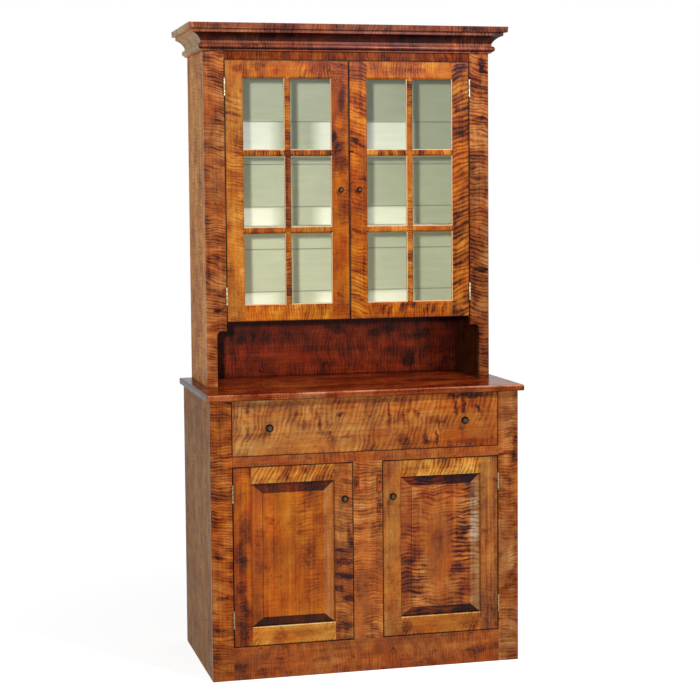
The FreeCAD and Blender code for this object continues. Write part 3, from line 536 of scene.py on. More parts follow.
def painted_step_shadow(n, colour, step):
    """A painted shadow along the step beside a panel's raised field."""
    step_x, low_z, high_z = (edge * MM for edge in step)
    x, _, z = n.parts(n.place())[0:3]
    near = n.ramp(n.math("ABSOLUTE", n.take(x, step_x)), 0.0022, 0.0006)
    share = n.times(near, n.over(z, low_z), n.under(z, high_z), n.under(n.turned("Y"), 0.0), 0.6)
    return n.mix(share, colour, STEP_SHADOW_COLOUR)


def maple(name, board, marks=(), rim=None, sticking=False):
    """A board's own varnished maple."""
    mat, n = new_material(name)
    shift = wood_shift(name)
    at = grain_place(n, board.axis, shift)
    across_ends = n.turned(board.axis)
    if board.boards:
        at, seam = side_by_side(n, at, board.boards)
    if board.bars:
        is_bar = board.bars(n)
        at = n.blend(is_bar, at, grain_place(n, "X", shift))
        across_ends = n.node("ShaderNodeMix", {0: is_bar, 2: across_ends, 3: n.turned("X")}).outputs[0]
    tone, height = figure(n, board, at, marks)
    # End grain drinks more stain, and an outside edge is lighter: partly rubbed, partly a painted highlight.
    ends = n.ramp(n.math("ABSOLUTE", across_ends), 0.1, 0.3)
    tone = n.take(tone, n.times(ends, board.end_dark))
    eased = n.eased(WOOD_EASING)
    worn = edge_wear_and_highlight(n, eased)
    colour = stained(n, board, at, n.add(tone, n.times(worn, WEAR_AND_HIGHLIGHT_LIGHTER)))
    # Painted highlight on a sash's moulded edges.
    if sticking:
        colour = sticking_highlight(n, colour)
    # Painted shade round the outline, for the dark gap there.
    if rim:
        colour = painted_gap_shade(n, colour, rim)
    # A painted shadow line beside a raised field.
    if board.step:
        colour = painted_step_shadow(n, colour, board.step)
    polish = n.take(n.noise(n.place(), 3.0, 0.6, scale=23.0), 0.5)
    gloss = n.add(n.times(polish, POLISH_UNEVEN), n.times(worn, WORN_DULLER))
    seam_shade = SEAM_SHADE
    if board.painted:
        mask = board.painted(n)
        paint, brush = interior_paint(n)
        colour = n.mix(mask, colour, paint)
        gloss = n.add(gloss, n.times(mask, PAINT_DULLER))
        height = n.add(height, n.times(mask, brush, PAINT_RELIEF))
        seam_shade = n.take(SEAM_SHADE, n.times(mask, SEAM_FILLED))
    if board.bare_back:
        raw = bare_wood(n, at)[0]
        away = n.over(n.turned("Y"), 0.5)
        colour = n.mix(away, colour, n.tinted(raw, RAW_BACK))
        gloss = n.add(gloss, n.times(away, RAW_DULLER))
    if board.boards:
        colour = n.mix(n.times(seam, seam_shade), colour, SEAM_DARK)
    surface(n, grime_and_painted_shade(n, colour), height, gloss, board.rough, board.coat, board.coat_rough, eased,
            specular=board.specular)
    return mat


def painted_side(axis, sign, above=None):
    """A mask of the faces that look along one object axis, over a height."""
    def mask(n):
        found = n.over(n.turned(axis, sign), 0.5)
        return found if above is None else n.times(found, n.over(n.place_along("Z"), above))
    return mask


def everywhere(n):
    """A mask of the whole board."""
    return n.over(n.place_along("Z"), 0.0)


def off_the_middle_bar(n):
    """A mask of the muntins' cross bars: everything beside the upright one."""
    off = n.math("ABSOLUTE", n.take(n.math("ABSOLUTE", n.place_along("X")), BAR_MIDDLE))
    return n.over(off, BAR_HALF_WIDTH)


def secondary(name, axis):
    """Plain unfinished maple of the parts that don't show."""
    mat, n = new_material(name)
    colour, fibre, cloud = bare_wood(n, grain_place(n, axis, wood_shift(name)))
    surface(n, grime_and_painted_shade(n, colour), fibre, n.times(cloud, 0.15), 0.5, 0.0, 0.3, n.eased(WOOD_EASING),
            specular=0.2)
    return mat


BRONZE_LIGHT = rgb(52, 42, 36)
BRONZE_DARK = rgb(20, 15, 13)
KNOB_FACE_HIGHLIGHT = rgb(112, 92, 76)
KNOBS_WITHIN = 0.25             # on the doors, what lies nearer to the middle than this is a knob


def metal(name, light, dark, rough, with_knobs=False):
    """Handled metal, brighter where rubbed and darker in its hollows. The knobs on it are bronze, with a
    painted highlight on their faces that look forward.
    """
    mat, n = new_material(name)
    at = n.place()
    tarnish = n.noise(at, 4.0, 0.65, scale=160.0)
    fine = n.noise(at, scale=900.0)
    worn = n.times(n.ramp(tarnish, 0.35, 0.65), n.ramp(n.openness(0.004), 0.3, 0.95))
    colour = n.mix(worn, dark, light)
    # Faces that look forward are painted lighter: a painted highlight on the knobs.
    face = n.ramp(n.turned("Y", -1), 0.82, 0.97, 0.0, 0.36)
    if with_knobs:
        is_knob = n.under(n.math("ABSOLUTE", n.place_along("X")), KNOBS_WITHIN)
        colour = n.mix(is_knob, colour, n.mix(worn, BRONZE_DARK, BRONZE_LIGHT))
        face = n.times(face, is_knob)
    colour = n.mix(face, colour, KNOB_FACE_HIGHLIGHT)
    shader = surface(n, colour, fine, n.times(tarnish, 0.25), rough, 0.0, 0.2, n.eased(0.0005),
                     bump=0.00006, specular=0.5)
    shader.inputs["Metallic"].default_value = 1.0
    return mat


def putty_material(name):
    """Old linseed putty, painted over with a brush."""
    mat, n = new_material(name)
    paint, brush = interior_paint(n)
    grime = n.noise(n.place(), 4.0, 0.65, scale=130.0)
    colour = n.mix(n.ramp(grime, 0.45, 0.75, 0.0, 0.5), paint, rgb(140, 132, 104))
    height = n.add(grime, n.times(brush, 0.5))
    surface(n, grime_and_painted_shade(n, colour), height, n.times(grime, 0.2), 0.55, 0.0, 0.3, n.eased(0.0006), bump=0.0003)
    return mat


def pane_glass(name):
    """Old clear glass, slightly wavy, that lets the lamps through to the shelves."""
    mat, n = new_material(name)
    wavy = n.noise(n.vector("MULTIPLY", n.place(), (11.0, 11.0, 5.0)), 2.0, 0.4)
    bump = n.node("ShaderNodeBump", {"Strength": 0.1, "Distance": 0.0001, "Height": wavy})
    glass = n.node("ShaderNodeBsdfPrincipled", {
        "Base Color": rgb(246, 250, 247), "Roughness": 0.0, "IOR": 1.45, "Transmission Weight": 1.0,
        "Specular IOR Level": 0.1, "Normal": bump.outputs["Normal"]})
    clear = n.node("ShaderNodeBsdfTransparent", {"Color": rgb(248, 251, 248)})
    both = n.node("ShaderNodeMixShader")
    # Light that has met a surface passes straight through, so that no lamp counts twice behind the glass.
    path = n.node("ShaderNodeLightPath").outputs
    n.put(both.inputs[0], n.math("MAXIMUM", path["Is Shadow Ray"], n.over(path["Diffuse Depth"], 0.5)))
    n.put(both.inputs[1], glass.outputs[0])
    n.put(both.inputs[2], clear.outputs[0])
    n.show(both)
    return mat


# ------------------------ finishes of the CAD parts
SIDE = {"curl": 0.4, "spacing": 0.012, "rough": 0.5, "coat": 0.0, "specular": 0.045}
STILE = {"coat": 0.02, "specular": 0.05}
UPPER_STILE = {**STILE, "painted": painted_side("Y", 1, GLAZED_FLOOR_Z),
               "fades": (("Z", 1.2, 1.08, (1.0, 1.0, 1.0), (0.95, 0.8, 0.72)),)}
UPPER_RAILS = {"contrast": 1.15, "spacing": 0.0088}
MUNTINS = {"contrast": 1.3, "spacing": 0.0085, "bars": off_the_middle_bar}
# Edges that look up catch the light.
LOWER_RAILS = {"spacing": 0.0125, "plain": 0.38, "washes": (("Z", 1, 0.45, 0.66, (1.3, 1.7, 2.6)),),
               "lifts": (("Z", 1, 0.45, 0.66, 0.24),)}


def outer_edge(sign, share):
    """A wash for a stile's outer side, painted paler like the sides: painted light where the lamps only graze
    it.
    """
    return (("X", sign, 0.8, 0.95, share),)


def bevels(right, left, top, bottom):
    """Washes for a raised panel's four bevels. They paint light and shade: the right bevel paler as a
    highlight, the others darker as shade, the top and bottom ones also for their end grain.
    """
    sides = (("X", 1, right), ("X", -1, left), ("Z", 1, top), ("Z", -1, bottom))
    return tuple((axis, sign, 0.1, 0.22, share) for axis, sign, share in sides)


BOARDS = {
    "base_back_boards": Board("Z", "dark", bare_back=True, boards=("X", -0.5, 0.2)),
    **dict.fromkeys(("base_bottom_board", "base_shelf"), Board("X", "dark")),
    "base_bottom_rail": Board("X", "case", "walnut", shade=-0.1, curl=0.4, blotch=0.9, slant=0.1),
    "base_centre_stile": Board("Z", "case", "hazel", contrast=0.95, slant=0.12),
    "base_drawer_rail": Board("X", "case", "walnut", shade=-0.04, curl=0.5),
    "base_stile_left": Board(
        "Z", "case", "cherry", shade=-0.03, slant=0.1, **STILE, washes=outer_edge(-1, (1.0, 1.4, 2.0))),
    "base_stile_right": Board(
        "Z", "case", "tan", shade=-0.01, curl=0.72, slant=0.05, **STILE,
        washes=outer_edge(1, (1.0, 1.4, 2.0))),
    "counter_top": Board(
        "X", "counter", contrast=1.5, curl=0.3, rings=2.2, cloud=1.2, rough=0.22, coat=0.0, coat_rough=0.08,
        specular=0.035, lifts=(("Y", -1, 0.3, 0.8, 0.16),),
        # The fade paints the front edge darker below its top few millimetres, and the second wash paints the
        # rounded nosing paler: painted shade under a painted highlight along the top arris.
        fades=(("Z", 0.9035, 0.9075, (0.57, 0.51, 0.43), (0.89, 0.93, 0.93)),),
        washes=(("Z", 1, 0.8, 0.97, (0.94, 0.66, 0.33)), ("Y", -1, 0.15, 0.45, (1.0, 1.7, 2.6)),
                ("Y", -1, 0.75, 0.97, (1.0, 0.59, 0.385)), ("X", -1, 0.5, 0.9, (0.5, 0.5, 0.5)),
                ("X", 1, 0.5, 0.9, (0.5, 0.5, 0.5)))),
    "crown_front": Board(
        # The lift and the wash darken its faces that look down: painted shade in the cove.
        "X", "crown", "plum", cloud=1.4, lifts=(("Z", -1, 0.1, 0.7, -0.34),),
        washes=(("Z", -1, 0.1, 0.5, (0.5, 0.36, 0.28)),)),
    "drawer_front": Board(
        "X", "door", "clay", shade=-0.02, cloud=0.75, curl=0.66, slant=-0.26, spacing=0.0165,
        fades=(("X", -0.3, 0.3, (1.06, 1.25, 1.5), (0.95, 0.76, 0.5)),)),
    "lower_left_door_hinge_stile": Board(
        "Z", "door", "russet", shade=-0.16, contrast=1.0, curl=0.35, rings=2.0),
    "lower_left_door_lock_stile": Board("Z", "door", "clay", shade=-0.1, curl=0.6, slant=0.2),
    "lower_left_door_panel": Board(
        "Z", "door", "russet", shade=-0.03, curl=0.5, spacing=0.012, plain=0.62, rings=1.4, end_dark=0.5,
        # Its lift and its washes are painted light and shade on the bevels.
        step=(-343, 197.5, 593.5), lifts=(("X", 1, 0.1, 0.22, 0.16),),
        washes=bevels((0.82, 1.16, 6.5), (0.8, 0.75, 0.6), (0.72, 0.6, 0.62), (0.3, 0.28, 0.36))),
    "lower_left_door_rails": Board(
        "X", "door", "tan", shade=0.1, curl=0.9, slant=-0.42, **LOWER_RAILS,
        fades=(("Z", 0.2, 0.6, (1.06, 1.06, 1.05), (0.93, 0.94, 0.9)),)),
    "lower_right_door_hinge_stile": Board("Z", "door", "fawn", shade=-0.13, curl=0.2, rings=2.2),
    "lower_right_door_lock_stile": Board("Z", "door", "fawn", shade=-0.04, curl=0.4, plain=0.6),
    "lower_right_door_panel": Board(
        "Z", "door", "brick", shade=-0.08, curl=0.9, spacing=0.0125, end_dark=0.56,
        # Its lift and its washes are painted light and shade on the bevels.
        step=(145.25, 197.5, 593.5), lifts=(("X", 1, 0.1, 0.22, 0.2),),
        washes=bevels((0.8, 1.28, 2.8), (0.75, 0.62, 0.5), (0.66, 0.42, 0.42), (0.6, 0.5, 0.44))),
    "lower_right_door_rails": Board(
        "X", "door", "tan", shade=0.06, curl=0.95, slant=-0.36, **LOWER_RAILS,
        fades=(("Z", 0.2, 0.6, (0.97, 0.88, 0.8), (1.0, 1.05, 1.1)),)),
    "upper_left_door_hinge_stile": Board(
        "Z", "door", "ochre", shade=0.08, contrast=1.35, curl=0.7, slant=0.25, plain=0.5),
    "upper_left_door_lock_stile": Board(
        "Z", "door", "amber", shade=-0.08, contrast=1.3, curl=0.45, slant=0.1),
    "upper_left_door_muntins": Board("Z", "door", "honey", shade=-0.1, **MUNTINS),
    "upper_left_door_rails": Board(
        "X", "door", "amber", shade=0.06, curl=0.85, plain=0.36, **UPPER_RAILS,
        fades=(("Z", 1.2, 1.85, (1.08, 1.1, 1.0), (0.9, 0.88, 0.84)),)),
    "upper_right_door_hinge_stile": Board(
        "Z", "door", "honey", shade=-0.1, contrast=1.3, curl=0.9, slant=-0.35, spacing=0.016, plain=0.36),
    "upper_right_door_lock_stile": Board(
        "Z", "door", "amber", shade=-0.02, contrast=1.45, curl=0.7, slant=0.3, spacing=0.0125),
    "upper_right_door_muntins": Board("Z", "door", "honey", shade=0.02, **MUNTINS),
    "upper_right_door_rails": Board("X", "door", "amber", shade=0.04, curl=0.8, **UPPER_RAILS),
    "upper_back_boards": Board(
        "X", "dark", "mahogany", shade=-0.14, curl=0.55, spacing=0.011, blotch=0.7, bare_back=True,
        painted=painted_side("Y", -1, GLAZED_FLOOR_Z), boards=("Z", 1.2, 0.14533),
        # The fades darken the recess's back towards its top and its right end: painted shade under the upper
        # case.
        fades=(("Z", 0.93, 1.11, (1.25, 1.25, 1.1), (0.62, 0.62, 0.7)),
               ("X", 0.28, 0.44, (1.0, 1.0, 1.0), (0.36, 0.33, 0.36)))),
    "upper_bottom_board": Board("X", "dark", painted=painted_side("Z", 1)),
    **dict.fromkeys(("upper_shelf_high", "upper_shelf_low"), Board("X", "dark", painted=everywhere)),
    "upper_stile_left": Board(
        "Z", "case", "tan", contrast=1.05, slant=0.14, **UPPER_STILE,
        washes=outer_edge(-1, (2.7, 3.0, 1.8))),
    "upper_stile_right": Board(
        "Z", "case", "ochre", shade=-0.05, contrast=1.18, slant=0.16, spacing=0.0125, plain=0.3,
        **UPPER_STILE, washes=outer_edge(1, (2.7, 3.0, 1.8))),
    "upper_top_board": Board("X", "dark", painted=painted_side("Z", -1)),
    "upper_top_rail": Board(
        "X", "case", "amber", shade=-0.12, contrast=0.8, curl=1.2, spacing=0.0072, plain=0.3, coat=0.0,
        specular=0.04),
}
for side, sign in (("left", -1), ("right", 1)):
    BOARDS["base_side_" + side] = Board("Z", "case", "lower_side", **SIDE)
    # The inner face is painted above the recess. Beside the recess it is darkened, which takes back the
    # sides' painted light and paints shade in the recess.
    BOARDS["upper_side_" + side] = Board(
        "Z", "case", "upper_side", **SIDE, washes=(("X", -sign, 0.4, 0.8, (0.1, 0.06, 0.07)),),
        painted=painted_side("X", -sign, GLAZED_FLOOR_Z))
    # The crown's ends are lighter, and greyer where they look outwards: painted light for the sheen where the
    # lamps graze them.
    BOARDS["crown_" + side] = Board(
        "Y", "crown", "crown_end", shade=0.16, curl=0.5, rough=0.45, coat=0.0, specular=0.07,
        washes=(("X", sign, 0.1, 0.5, (0.66, 0.98, 1.3)),))
    BOARDS["turn_button_" + side] = Board("Z", "door", shade=-0.2, curl=0.5)

# What stands out in the grain: (x, z, half length, half width, turn, amount), in millimetres and degrees on
# the face. A patch is darker by its amount, or lighter where that is negative.
PATCHES = {
    "base_bottom_rail": (
        (-416, 41, 30, 22, 0, 0.2), (-349, 23, 26, 18, 0, 0.2), (-161, 43, 34, 16, 10, 0.16),
        (-9, 54, 22, 14, 0, 0.16), (387, 49, 70, 20, 10, 0.2), (230, 60, 90, 24, 0, -0.1)),
    "base_centre_stile": (
        (38, 528, 12, 70, 0, 0.3), (18, 141, 22, 12, -20, 0.26), (8, 107, 26, 10, -20, 0.26),
        (-6, 412, 30, 90, 0, -0.1), (-34, 262, 9, 50, 0, 0.14)),
    "base_stile_left": (
        (-483, 395, 30, 8, -14, 0.24), (-470, 267, 44, 6, 6, 0.3), (-492, 166, 40, 6, -8, 0.3),
        (-470, 834, 22, 26, 0, 0.12)),
    "base_stile_right": (
        (491, 665, 16, 34, 0, 0.4), (464, 686, 34, 7, 14, 0.3), (499, 724, 9, 46, 0, 0.26),
        (470, 330, 26, 60, -30, -0.16), (488, 293, 12, 34, -34, 0.34), (471, 245, 16, 10, 20, 0.2)),
    "crown_front": (
        (-440, 2072, 40, 10, 0, 0.2), (400, 2072, 60, 10, 0, 0.3), (-330, 2012, 40, 7, 0, 0.25),
        (190, 2012, 80, 6, 0, 0.2)),
    "drawer_front": (
        # The two long marks at z 872 and the one at z 882 lie along the top edge: a dark band of painted
        # shade under the counter's overhang.
        (-300, 872, 150, 13, 0, 0.2), (60, 872, 230, 11, 0, 0.16), (-343, 800, 36, 60, 0, 0.1),
        (-89, 836, 14, 8, 20, 0.34), (-122, 755, 16, 40, 24, 0.16), (-155, 803, 8, 44, 14, 0.24),
        (167, 827, 9, 26, 34, 0.3), (118, 742, 22, 40, 30, 0.26), (194, 745, 14, 24, 0, 0.34),
        (238, 790, 6, 22, 14, 0.34), (232, 745, 4.5, 34, 8, 0.6), (72, 828, 7, 44, 8, 0.34),
        (295, 842, 8, 36, 0, 0.4), (322, 846, 8, 34, 0, 0.42), (352, 856, 6, 24, 0, 0.3),
        (370, 838, 7, 18, 24, 0.42), (344, 882, 90, 9, 0, 0.44), (236, 822, 40, 20, 0, -0.16),
        (320, 732, 70, 14, 4, 0.14)),
    "lower_left_door_hinge_stile": (
        (-398, 487, 20, 66, 0, 0.24), (-413, 390, 22, 60, 0, 0.18), (-417, 296, 20, 30, 0, 0.18),
        (-402, 182, 28, 80, 0, 0.26), (-402, 628, 26, 40, 0, -0.14)),
    "lower_left_door_lock_stile": (
        (-67, 619, 26, 12, -10, 0.3), (-60, 432, 12, 40, 10, 0.34), (-80, 359, 44, 13, -8, 0.36),
        (-72, 314, 44, 15, -10, 0.42), (-98, 274, 26, 11, -24, 0.5), (-64, 240, 28, 12, -14, 0.4),
        (-88, 149, 40, 22, -6, 0.24), (-84, 395, 40, 6, -14, 0.3), (-88, 470, 20, 44, 0, -0.12)),
    "lower_left_door_panel": (
        (-191, 386, 24, 44, 0, 0.24), (-223, 372, 26, 30, 0, 0.12), (-157, 501, 26, 50, 0, 0.12),
        (-250, 330, 30, 40, 0, 0.08)),
    "lower_left_door_rails": (
        (-290, 129, 34, 26, 0, 0.24), (-202, 136, 50, 12, 0, 0.2), (-270, 654, 12, 24, 30, 0.2),
        (-208, 662, 14, 20, 30, 0.2)),
    "lower_right_door_hinge_stile": (
        (391, 560, 10, 100, 0, 0.16), (410, 330, 14, 70, 0, -0.12), (424, 180, 12, 70, 0, 0.12)),
    "lower_right_door_panel": (
        (162, 400, 26, 130, 0, 0.14), (318, 470, 34, 110, -10, 0.16), (296, 330, 26, 70, -10, 0.14),
        (238, 426, 26, 26, 0, 0.12)),
    "lower_right_door_rails": (
        (124, 136, 30, 26, 0, 0.26), (344, 131, 44, 26, 0, 0.28), (192, 652, 14, 24, 30, 0.18),
        (330, 655, 30, 20, 0, -0.1)),
    "upper_left_door_hinge_stile": (
        (-370, 1937, 22, 12, 0, 0.26), (-386, 1849, 40, 7, -14, 0.18), (-386, 1829, 40, 6, -16, 0.2),
        (-386, 1811, 40, 6, -14, 0.22), (-384, 1794, 40, 7, -14, 0.28), (-358, 1866, 8, 8, 0, 0.26),
        (-386, 1770, 34, 4, -8, 0.16), (-386, 1700, 24, 90, 0, -0.06)),
    "upper_left_door_lock_stile": (
        (-24, 1847, 18, 50, 0, 0.22), (-51, 1718, 11, 22, 0, 0.62), (-36, 1684, 18, 26, -30, 0.34),
        (-26, 1632, 26, 34, 0, 0.26), (-34, 1764, 16, 26, 0, -0.18), (-32, 1950, 30, 4, -8, 0.2),
        (-32, 1926, 30, 4, -8, 0.2), (-40, 1570, 18, 24, 0, -0.12)),
    "upper_left_door_rails": (
        (-283, 1944, 8, 8, 0, 0.36), (-125, 1932, 6, 10, 30, 0.4), (-62, 1934, 8, 6, 0, 0.34),
        (-118, 1944, 3, 16, 30, 0.2), (-200, 1150, 160, 30, 0, -0.06)),
    "upper_right_door_hinge_stile": (
        (378, 1948, 24, 20, 0, 0.44), (367, 1876, 14, 34, 0, -0.2), (385, 1812, 40, 8, 20, 0.24),
        (384, 1730, 24, 12, 0, 0.24), (370, 1294, 22, 14, 10, 0.26), (366, 1233, 26, 9, 20, 0.34)),
    "upper_right_door_lock_stile": (
        (30, 1698, 34, 10, -28, 0.42), (8, 1672, 9, 7, 0, 0.66), (30, 1664, 30, 8, -24, 0.26),
        (46, 1584, 18, 5, -14, 0.36), (30, 1409, 34, 7, -20, 0.4), (30, 1276, 36, 9, -20, 0.42),
        (30, 1193, 34, 6, -20, 0.3), (22, 1860, 16, 60, 0, -0.1)),
    "upper_right_door_muntins": ((207, 1886, 14, 26, 0, 0.24),),
    "upper_right_door_rails": (
        (83, 1948, 16, 14, 0, 0.26), (204, 1946, 14, 20, 0, 0.24), (246, 1936, 20, 14, 0, 0.2),
        (111, 1146, 10, 26, -24, 0.34), (138, 1150, 8, 28, -24, 0.36), (177, 1155, 14, 24, -20, 0.4),
        (208, 1165, 20, 14, 0, 0.3), (262, 1152, 9, 26, -20, 0.36), (286, 1148, 9, 24, -20, 0.3),
        (322, 1150, 10, 28, -16, 0.34), (150, 1160, 6, 22, -20, -0.1)),
    "upper_back_boards": (
        (-347, 1053, 10, 26, 10, 0.3), (-305, 1036, 20, 14, 0, 0.36), (-344, 995, 14, 20, 0, 0.2),
        (-270, 1050, 8, 26, 10, 0.3), (20, 1068, 60, 14, -20, 0.3), (182, 1056, 60, 20, 10, 0.34),
        (290, 950, 26, 34, 0, 0.34), (330, 1040, 44, 20, 16, 0.26)),
    "upper_stile_left": (
        (-441, 1159, 30, 5, 20, 0.3), (-445, 1186, 26, 4, -20, 0.24), (-470, 1320, 8, 60, 0, 0.12)),
    "upper_stile_right": (
        (455, 1965, 16, 34, 20, 0.5), (452, 1938, 26, 8, -10, 0.4), (436, 1888, 22, 8, -14, 0.3),
        (456, 1780, 26, 9, -8, 0.44), (452, 1275, 36, 14, 0, 0.5), (470, 1560, 8, 60, 0, 0.2)),
}
KNOTS = {
    "drawer_front": ((123, 832, 15, 11, 20, 0.34), (190, 846, 24, 9, 20, 0.2), (-321, 790, 18, 26, 0, 0.1)),
    "upper_left_door_rails": ((-304, 1946, 13, 11, 0, 0.3), (-242, 1932, 9, 9, 0, 0.36)),
}
CURLS = {
    # the change of the curls' strength
    "drawer_front": ((330, 760, 90, 40, 0, -0.7), (-250, 740, 190, 26, 0, -0.4)),
    "lower_left_door_panel": ((-170, 420, 60, 130, 0, 0.7),),
    "lower_left_door_rails": ((-230, 140, 160, 40, 0, -1.0),),
    "lower_right_door_lock_stile": ((80, 330, 30, 60, 0, 0.5),),
    "lower_right_door_panel": (
        (238, 380, 52, 190, 0, -0.8), (160, 380, 40, 190, 0, 0.7), (320, 430, 40, 160, 0, 0.7)),
    "lower_right_door_rails": ((240, 140, 160, 40, 0, -0.9),),
}

PLAIN_BOARDS = {
    "drawer_back": "X", "drawer_bottom": "X", "drawer_side_left": "Y", "drawer_side_right": "Y",
    "drawer_runner_left": "Y", "drawer_runner_right": "Y",
}
BRASS = metal("aged_brass", rgb(196, 184, 146), rgb(112, 100, 72), 0.3, with_knobs=True)
DULL_BRASS = metal("dull_brass", rgb(150, 138, 108), rgb(84, 72, 50), 0.42, with_knobs=True)
BRONZE = metal("dark_bronze_metal", BRONZE_LIGHT, BRONZE_DARK, 0.26)
GLASS = pane_glass("pane_glass")
PUTTY = putty_material("glazing_putty")
nodes = frame["nodes"]


def dress(node, material):
    slots = nodes[node].data.materials
    slots.clear()
    slots.append(material)


def outline(*parts):
    """Where a front made of these parts starts and ends along X and along Z."""
    lows, highs = zip(*(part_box(part) for part in parts))
    edges = []
    for axis in (0, 2):
        edges += [min(low[axis] for low in lows), max(high[axis] for high in highs)]
    return tuple(edges)


# The outlines of the doors and the drawer front, round which painted shade stands for the dark gaps.
RIMS = {"drawer_front": outline("drawer_front")}
for door in ("upper_left_door", "upper_right_door", "lower_left_door", "lower_right_door"):
    RIMS[door] = outline(door + "_hinge_stile", door + "_lock_stile")

for node, board in BOARDS.items():
    marks = []
    for kind, table in (("patch", PATCHES), ("knot", KNOTS), ("curl", CURLS)):
        marks += [(kind, *mark) for mark in table.get(node, ())]
    front = next((front for front in RIMS if node.startswith(front)), None)
    rim = None if node.endswith(("panel", "muntins")) else RIMS.get(front)
    is_sash = node.startswith("upper") and "_door_" in node
    dress(node, maple(node + "_maple", board, marks, rim, sticking=is_sash))
for node, axis in PLAIN_BOARDS.items():
    dress(node, secondary(node + "_wood", axis))
for node in nodes:
    if node.endswith("_glass"):
        dress(node, GLASS)
    elif node == "upper_case_hinges" or node.endswith("_hardware"):
        dress(node, DULL_BRASS if node.startswith("lower") else BRASS)
    elif node == "drawer_knobs":
        dress(node, BRONZE)


# ------------------------ small pieces
PANE_COLUMNS = ((61.0, 195.0), (217.0, 351.0))          # sight edges of the panes in mm, out from the middle
PANE_ROWS = ((1177.5, 1406.5), (1428.5, 1657.5), (1679.5, 1908.5))
GLASS_BACK_Y = -35.95
PUTTY_BACK_Y = -28.4
PUTTY_WALL = 5.95               # the rabbet's wall, outside the sight edge
PUTTY_FEATHER = 1.2             # it ends this far outside the sight edge, so it can't be seen from the front
PUTTY_SHOULDER = (PUTTY_WALL * 0.6, PUTTY_BACK_Y - 2.2)  # out from the sight edge, and y
PUTTY_TOE = (PUTTY_FEATHER + 1.0, GLASS_BACK_Y + 1.1)
PUTTY_STEP = 6.0
THUMB = 0.35                    # how unevenly the putty was pressed

SCREW_RADIUS = 2.9
SCREW_ROUNDING = 0.25
SCREW_RISE = 0.11
SCREW_SLOT = 0.4                # half the slot's width
SCREW_POINTS = 13               # on half of a head's outline
LEAF_HALF_GAP = 0.15            # from the pin's middle to each leaf's face
LEAF_INTO_DOOR = 12.0           # the screws' middle line behind the pin
SCREWS = ((9.5, -1.0), (28.5, 2.6), (47.5, -1.0))       # up a leaf, and off that line
HINGES = {"upper": (1177.5, 1851.5), "lower": (166.5, 567.5)}       # the lower ends of each door's hinges
PINS = {joint["child"]: joint["pos_m"] for joint in frame["joints"] if "pos_m" in joint}


def in_metres(*place):
    return tuple(part * MM for part in place)


def new_object(name, data):
    made = bpy.data.objects.new(name, data)
    bpy.context.scene.collection.objects.link(made)
    return made


def new_piece(name, bm, body, material):
    bmesh.ops.recalc_face_normals(bm, faces=bm.faces)
    made = bpy.data.meshes.new(name)
    bm.to_mesh(made)
    bm.free()
    for face in made.polygons:
        face.use_smooth = False
    made.materials.append(material)
    piece = new_object(name, made)
    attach(piece, body)


def walk_round(step):
    """Points round the square from -1 to 1: its corners and even steps between them."""
    corners = ((-1.0, -1.0), (1.0, -1.0), (1.0, 1.0), (-1.0, 1.0))
    points = []
    for (x, z), (to_x, to_z) in zip(corners, corners[1:] + corners[:1]):
        count = max(2, round(math.hypot(to_x - x, to_z - z) / step))
        points += [(x + (to_x - x) * k / count, z + (to_z - z) * k / count) for k in range(count)]
    return points


def glazing_putty(bm, low_x, high_x, low_z, high_z, dice):
    """A thumbed fillet of putty round the back of one pane, mitred at its corners."""
    mid_x, mid_z = (low_x + high_x) / 2, (low_z + high_z) / 2
    half_x, half_z = (high_x - low_x) / 2, (high_z - low_z) / 2
    rings = []
    for x, z in walk_round(2.0 * PUTTY_STEP / (half_x + half_z)):
        lean = dice.uniform(-THUMB, THUMB)
        profile = (
            (PUTTY_WALL, GLASS_BACK_Y), (PUTTY_WALL, PUTTY_BACK_Y + lean),
            (PUTTY_SHOULDER[0], PUTTY_SHOULDER[1] + lean), (PUTTY_TOE[0] + lean, PUTTY_TOE[1]),
            (PUTTY_FEATHER + lean * 0.6, GLASS_BACK_Y))
        row = []
        for out, y in profile:
            row.append(bm.verts.new(in_metres(mid_x + x * (half_x + out), y, mid_z + z * (half_z + out))))
        rings.append(row)
    for here, after in zip(rings, rings[1:] + rings[:1]):
        for k in range(len(here)):
            bm.faces.new((here[k], here[k - 1], after[k - 1], after[k]))


def screw_head(bm, x, y, z, out, turn):
    """The two halves of a slotted flat head lying on a leaf. out is the way that the leaf faces along X."""
    outlines = (
        (SCREW_RADIUS, 0.0), (SCREW_RADIUS, SCREW_RISE * 0.5), (SCREW_RADIUS - SCREW_ROUNDING, SCREW_RISE))
    for side in (1, -1):
        loops = []
        for radius, rise in outlines:
            reach = math.acos(SCREW_SLOT / radius)
            loop = []
            for k in range(SCREW_POINTS):
                angle = reach * (2 * k / (SCREW_POINTS - 1) - 1.0)
                off_slot, along_slot = side * radius * math.cos(angle), radius * math.sin(angle)
                across = off_slot * math.cos(turn) - along_slot * math.sin(turn)
                along = off_slot * math.sin(turn) + along_slot * math.cos(turn)
                loop.append(bm.verts.new(in_metres(x + out * rise, y + across, z + along)))
            loops.append(loop)
        for low, high in zip(loops, loops[1:]):
            for k in range(SCREW_POINTS):
                bm.faces.new((low[k], low[k - 1], high[k - 1], high[k]))
        bm.faces.new(loops[0])
        bm.faces.new(loops[-1])


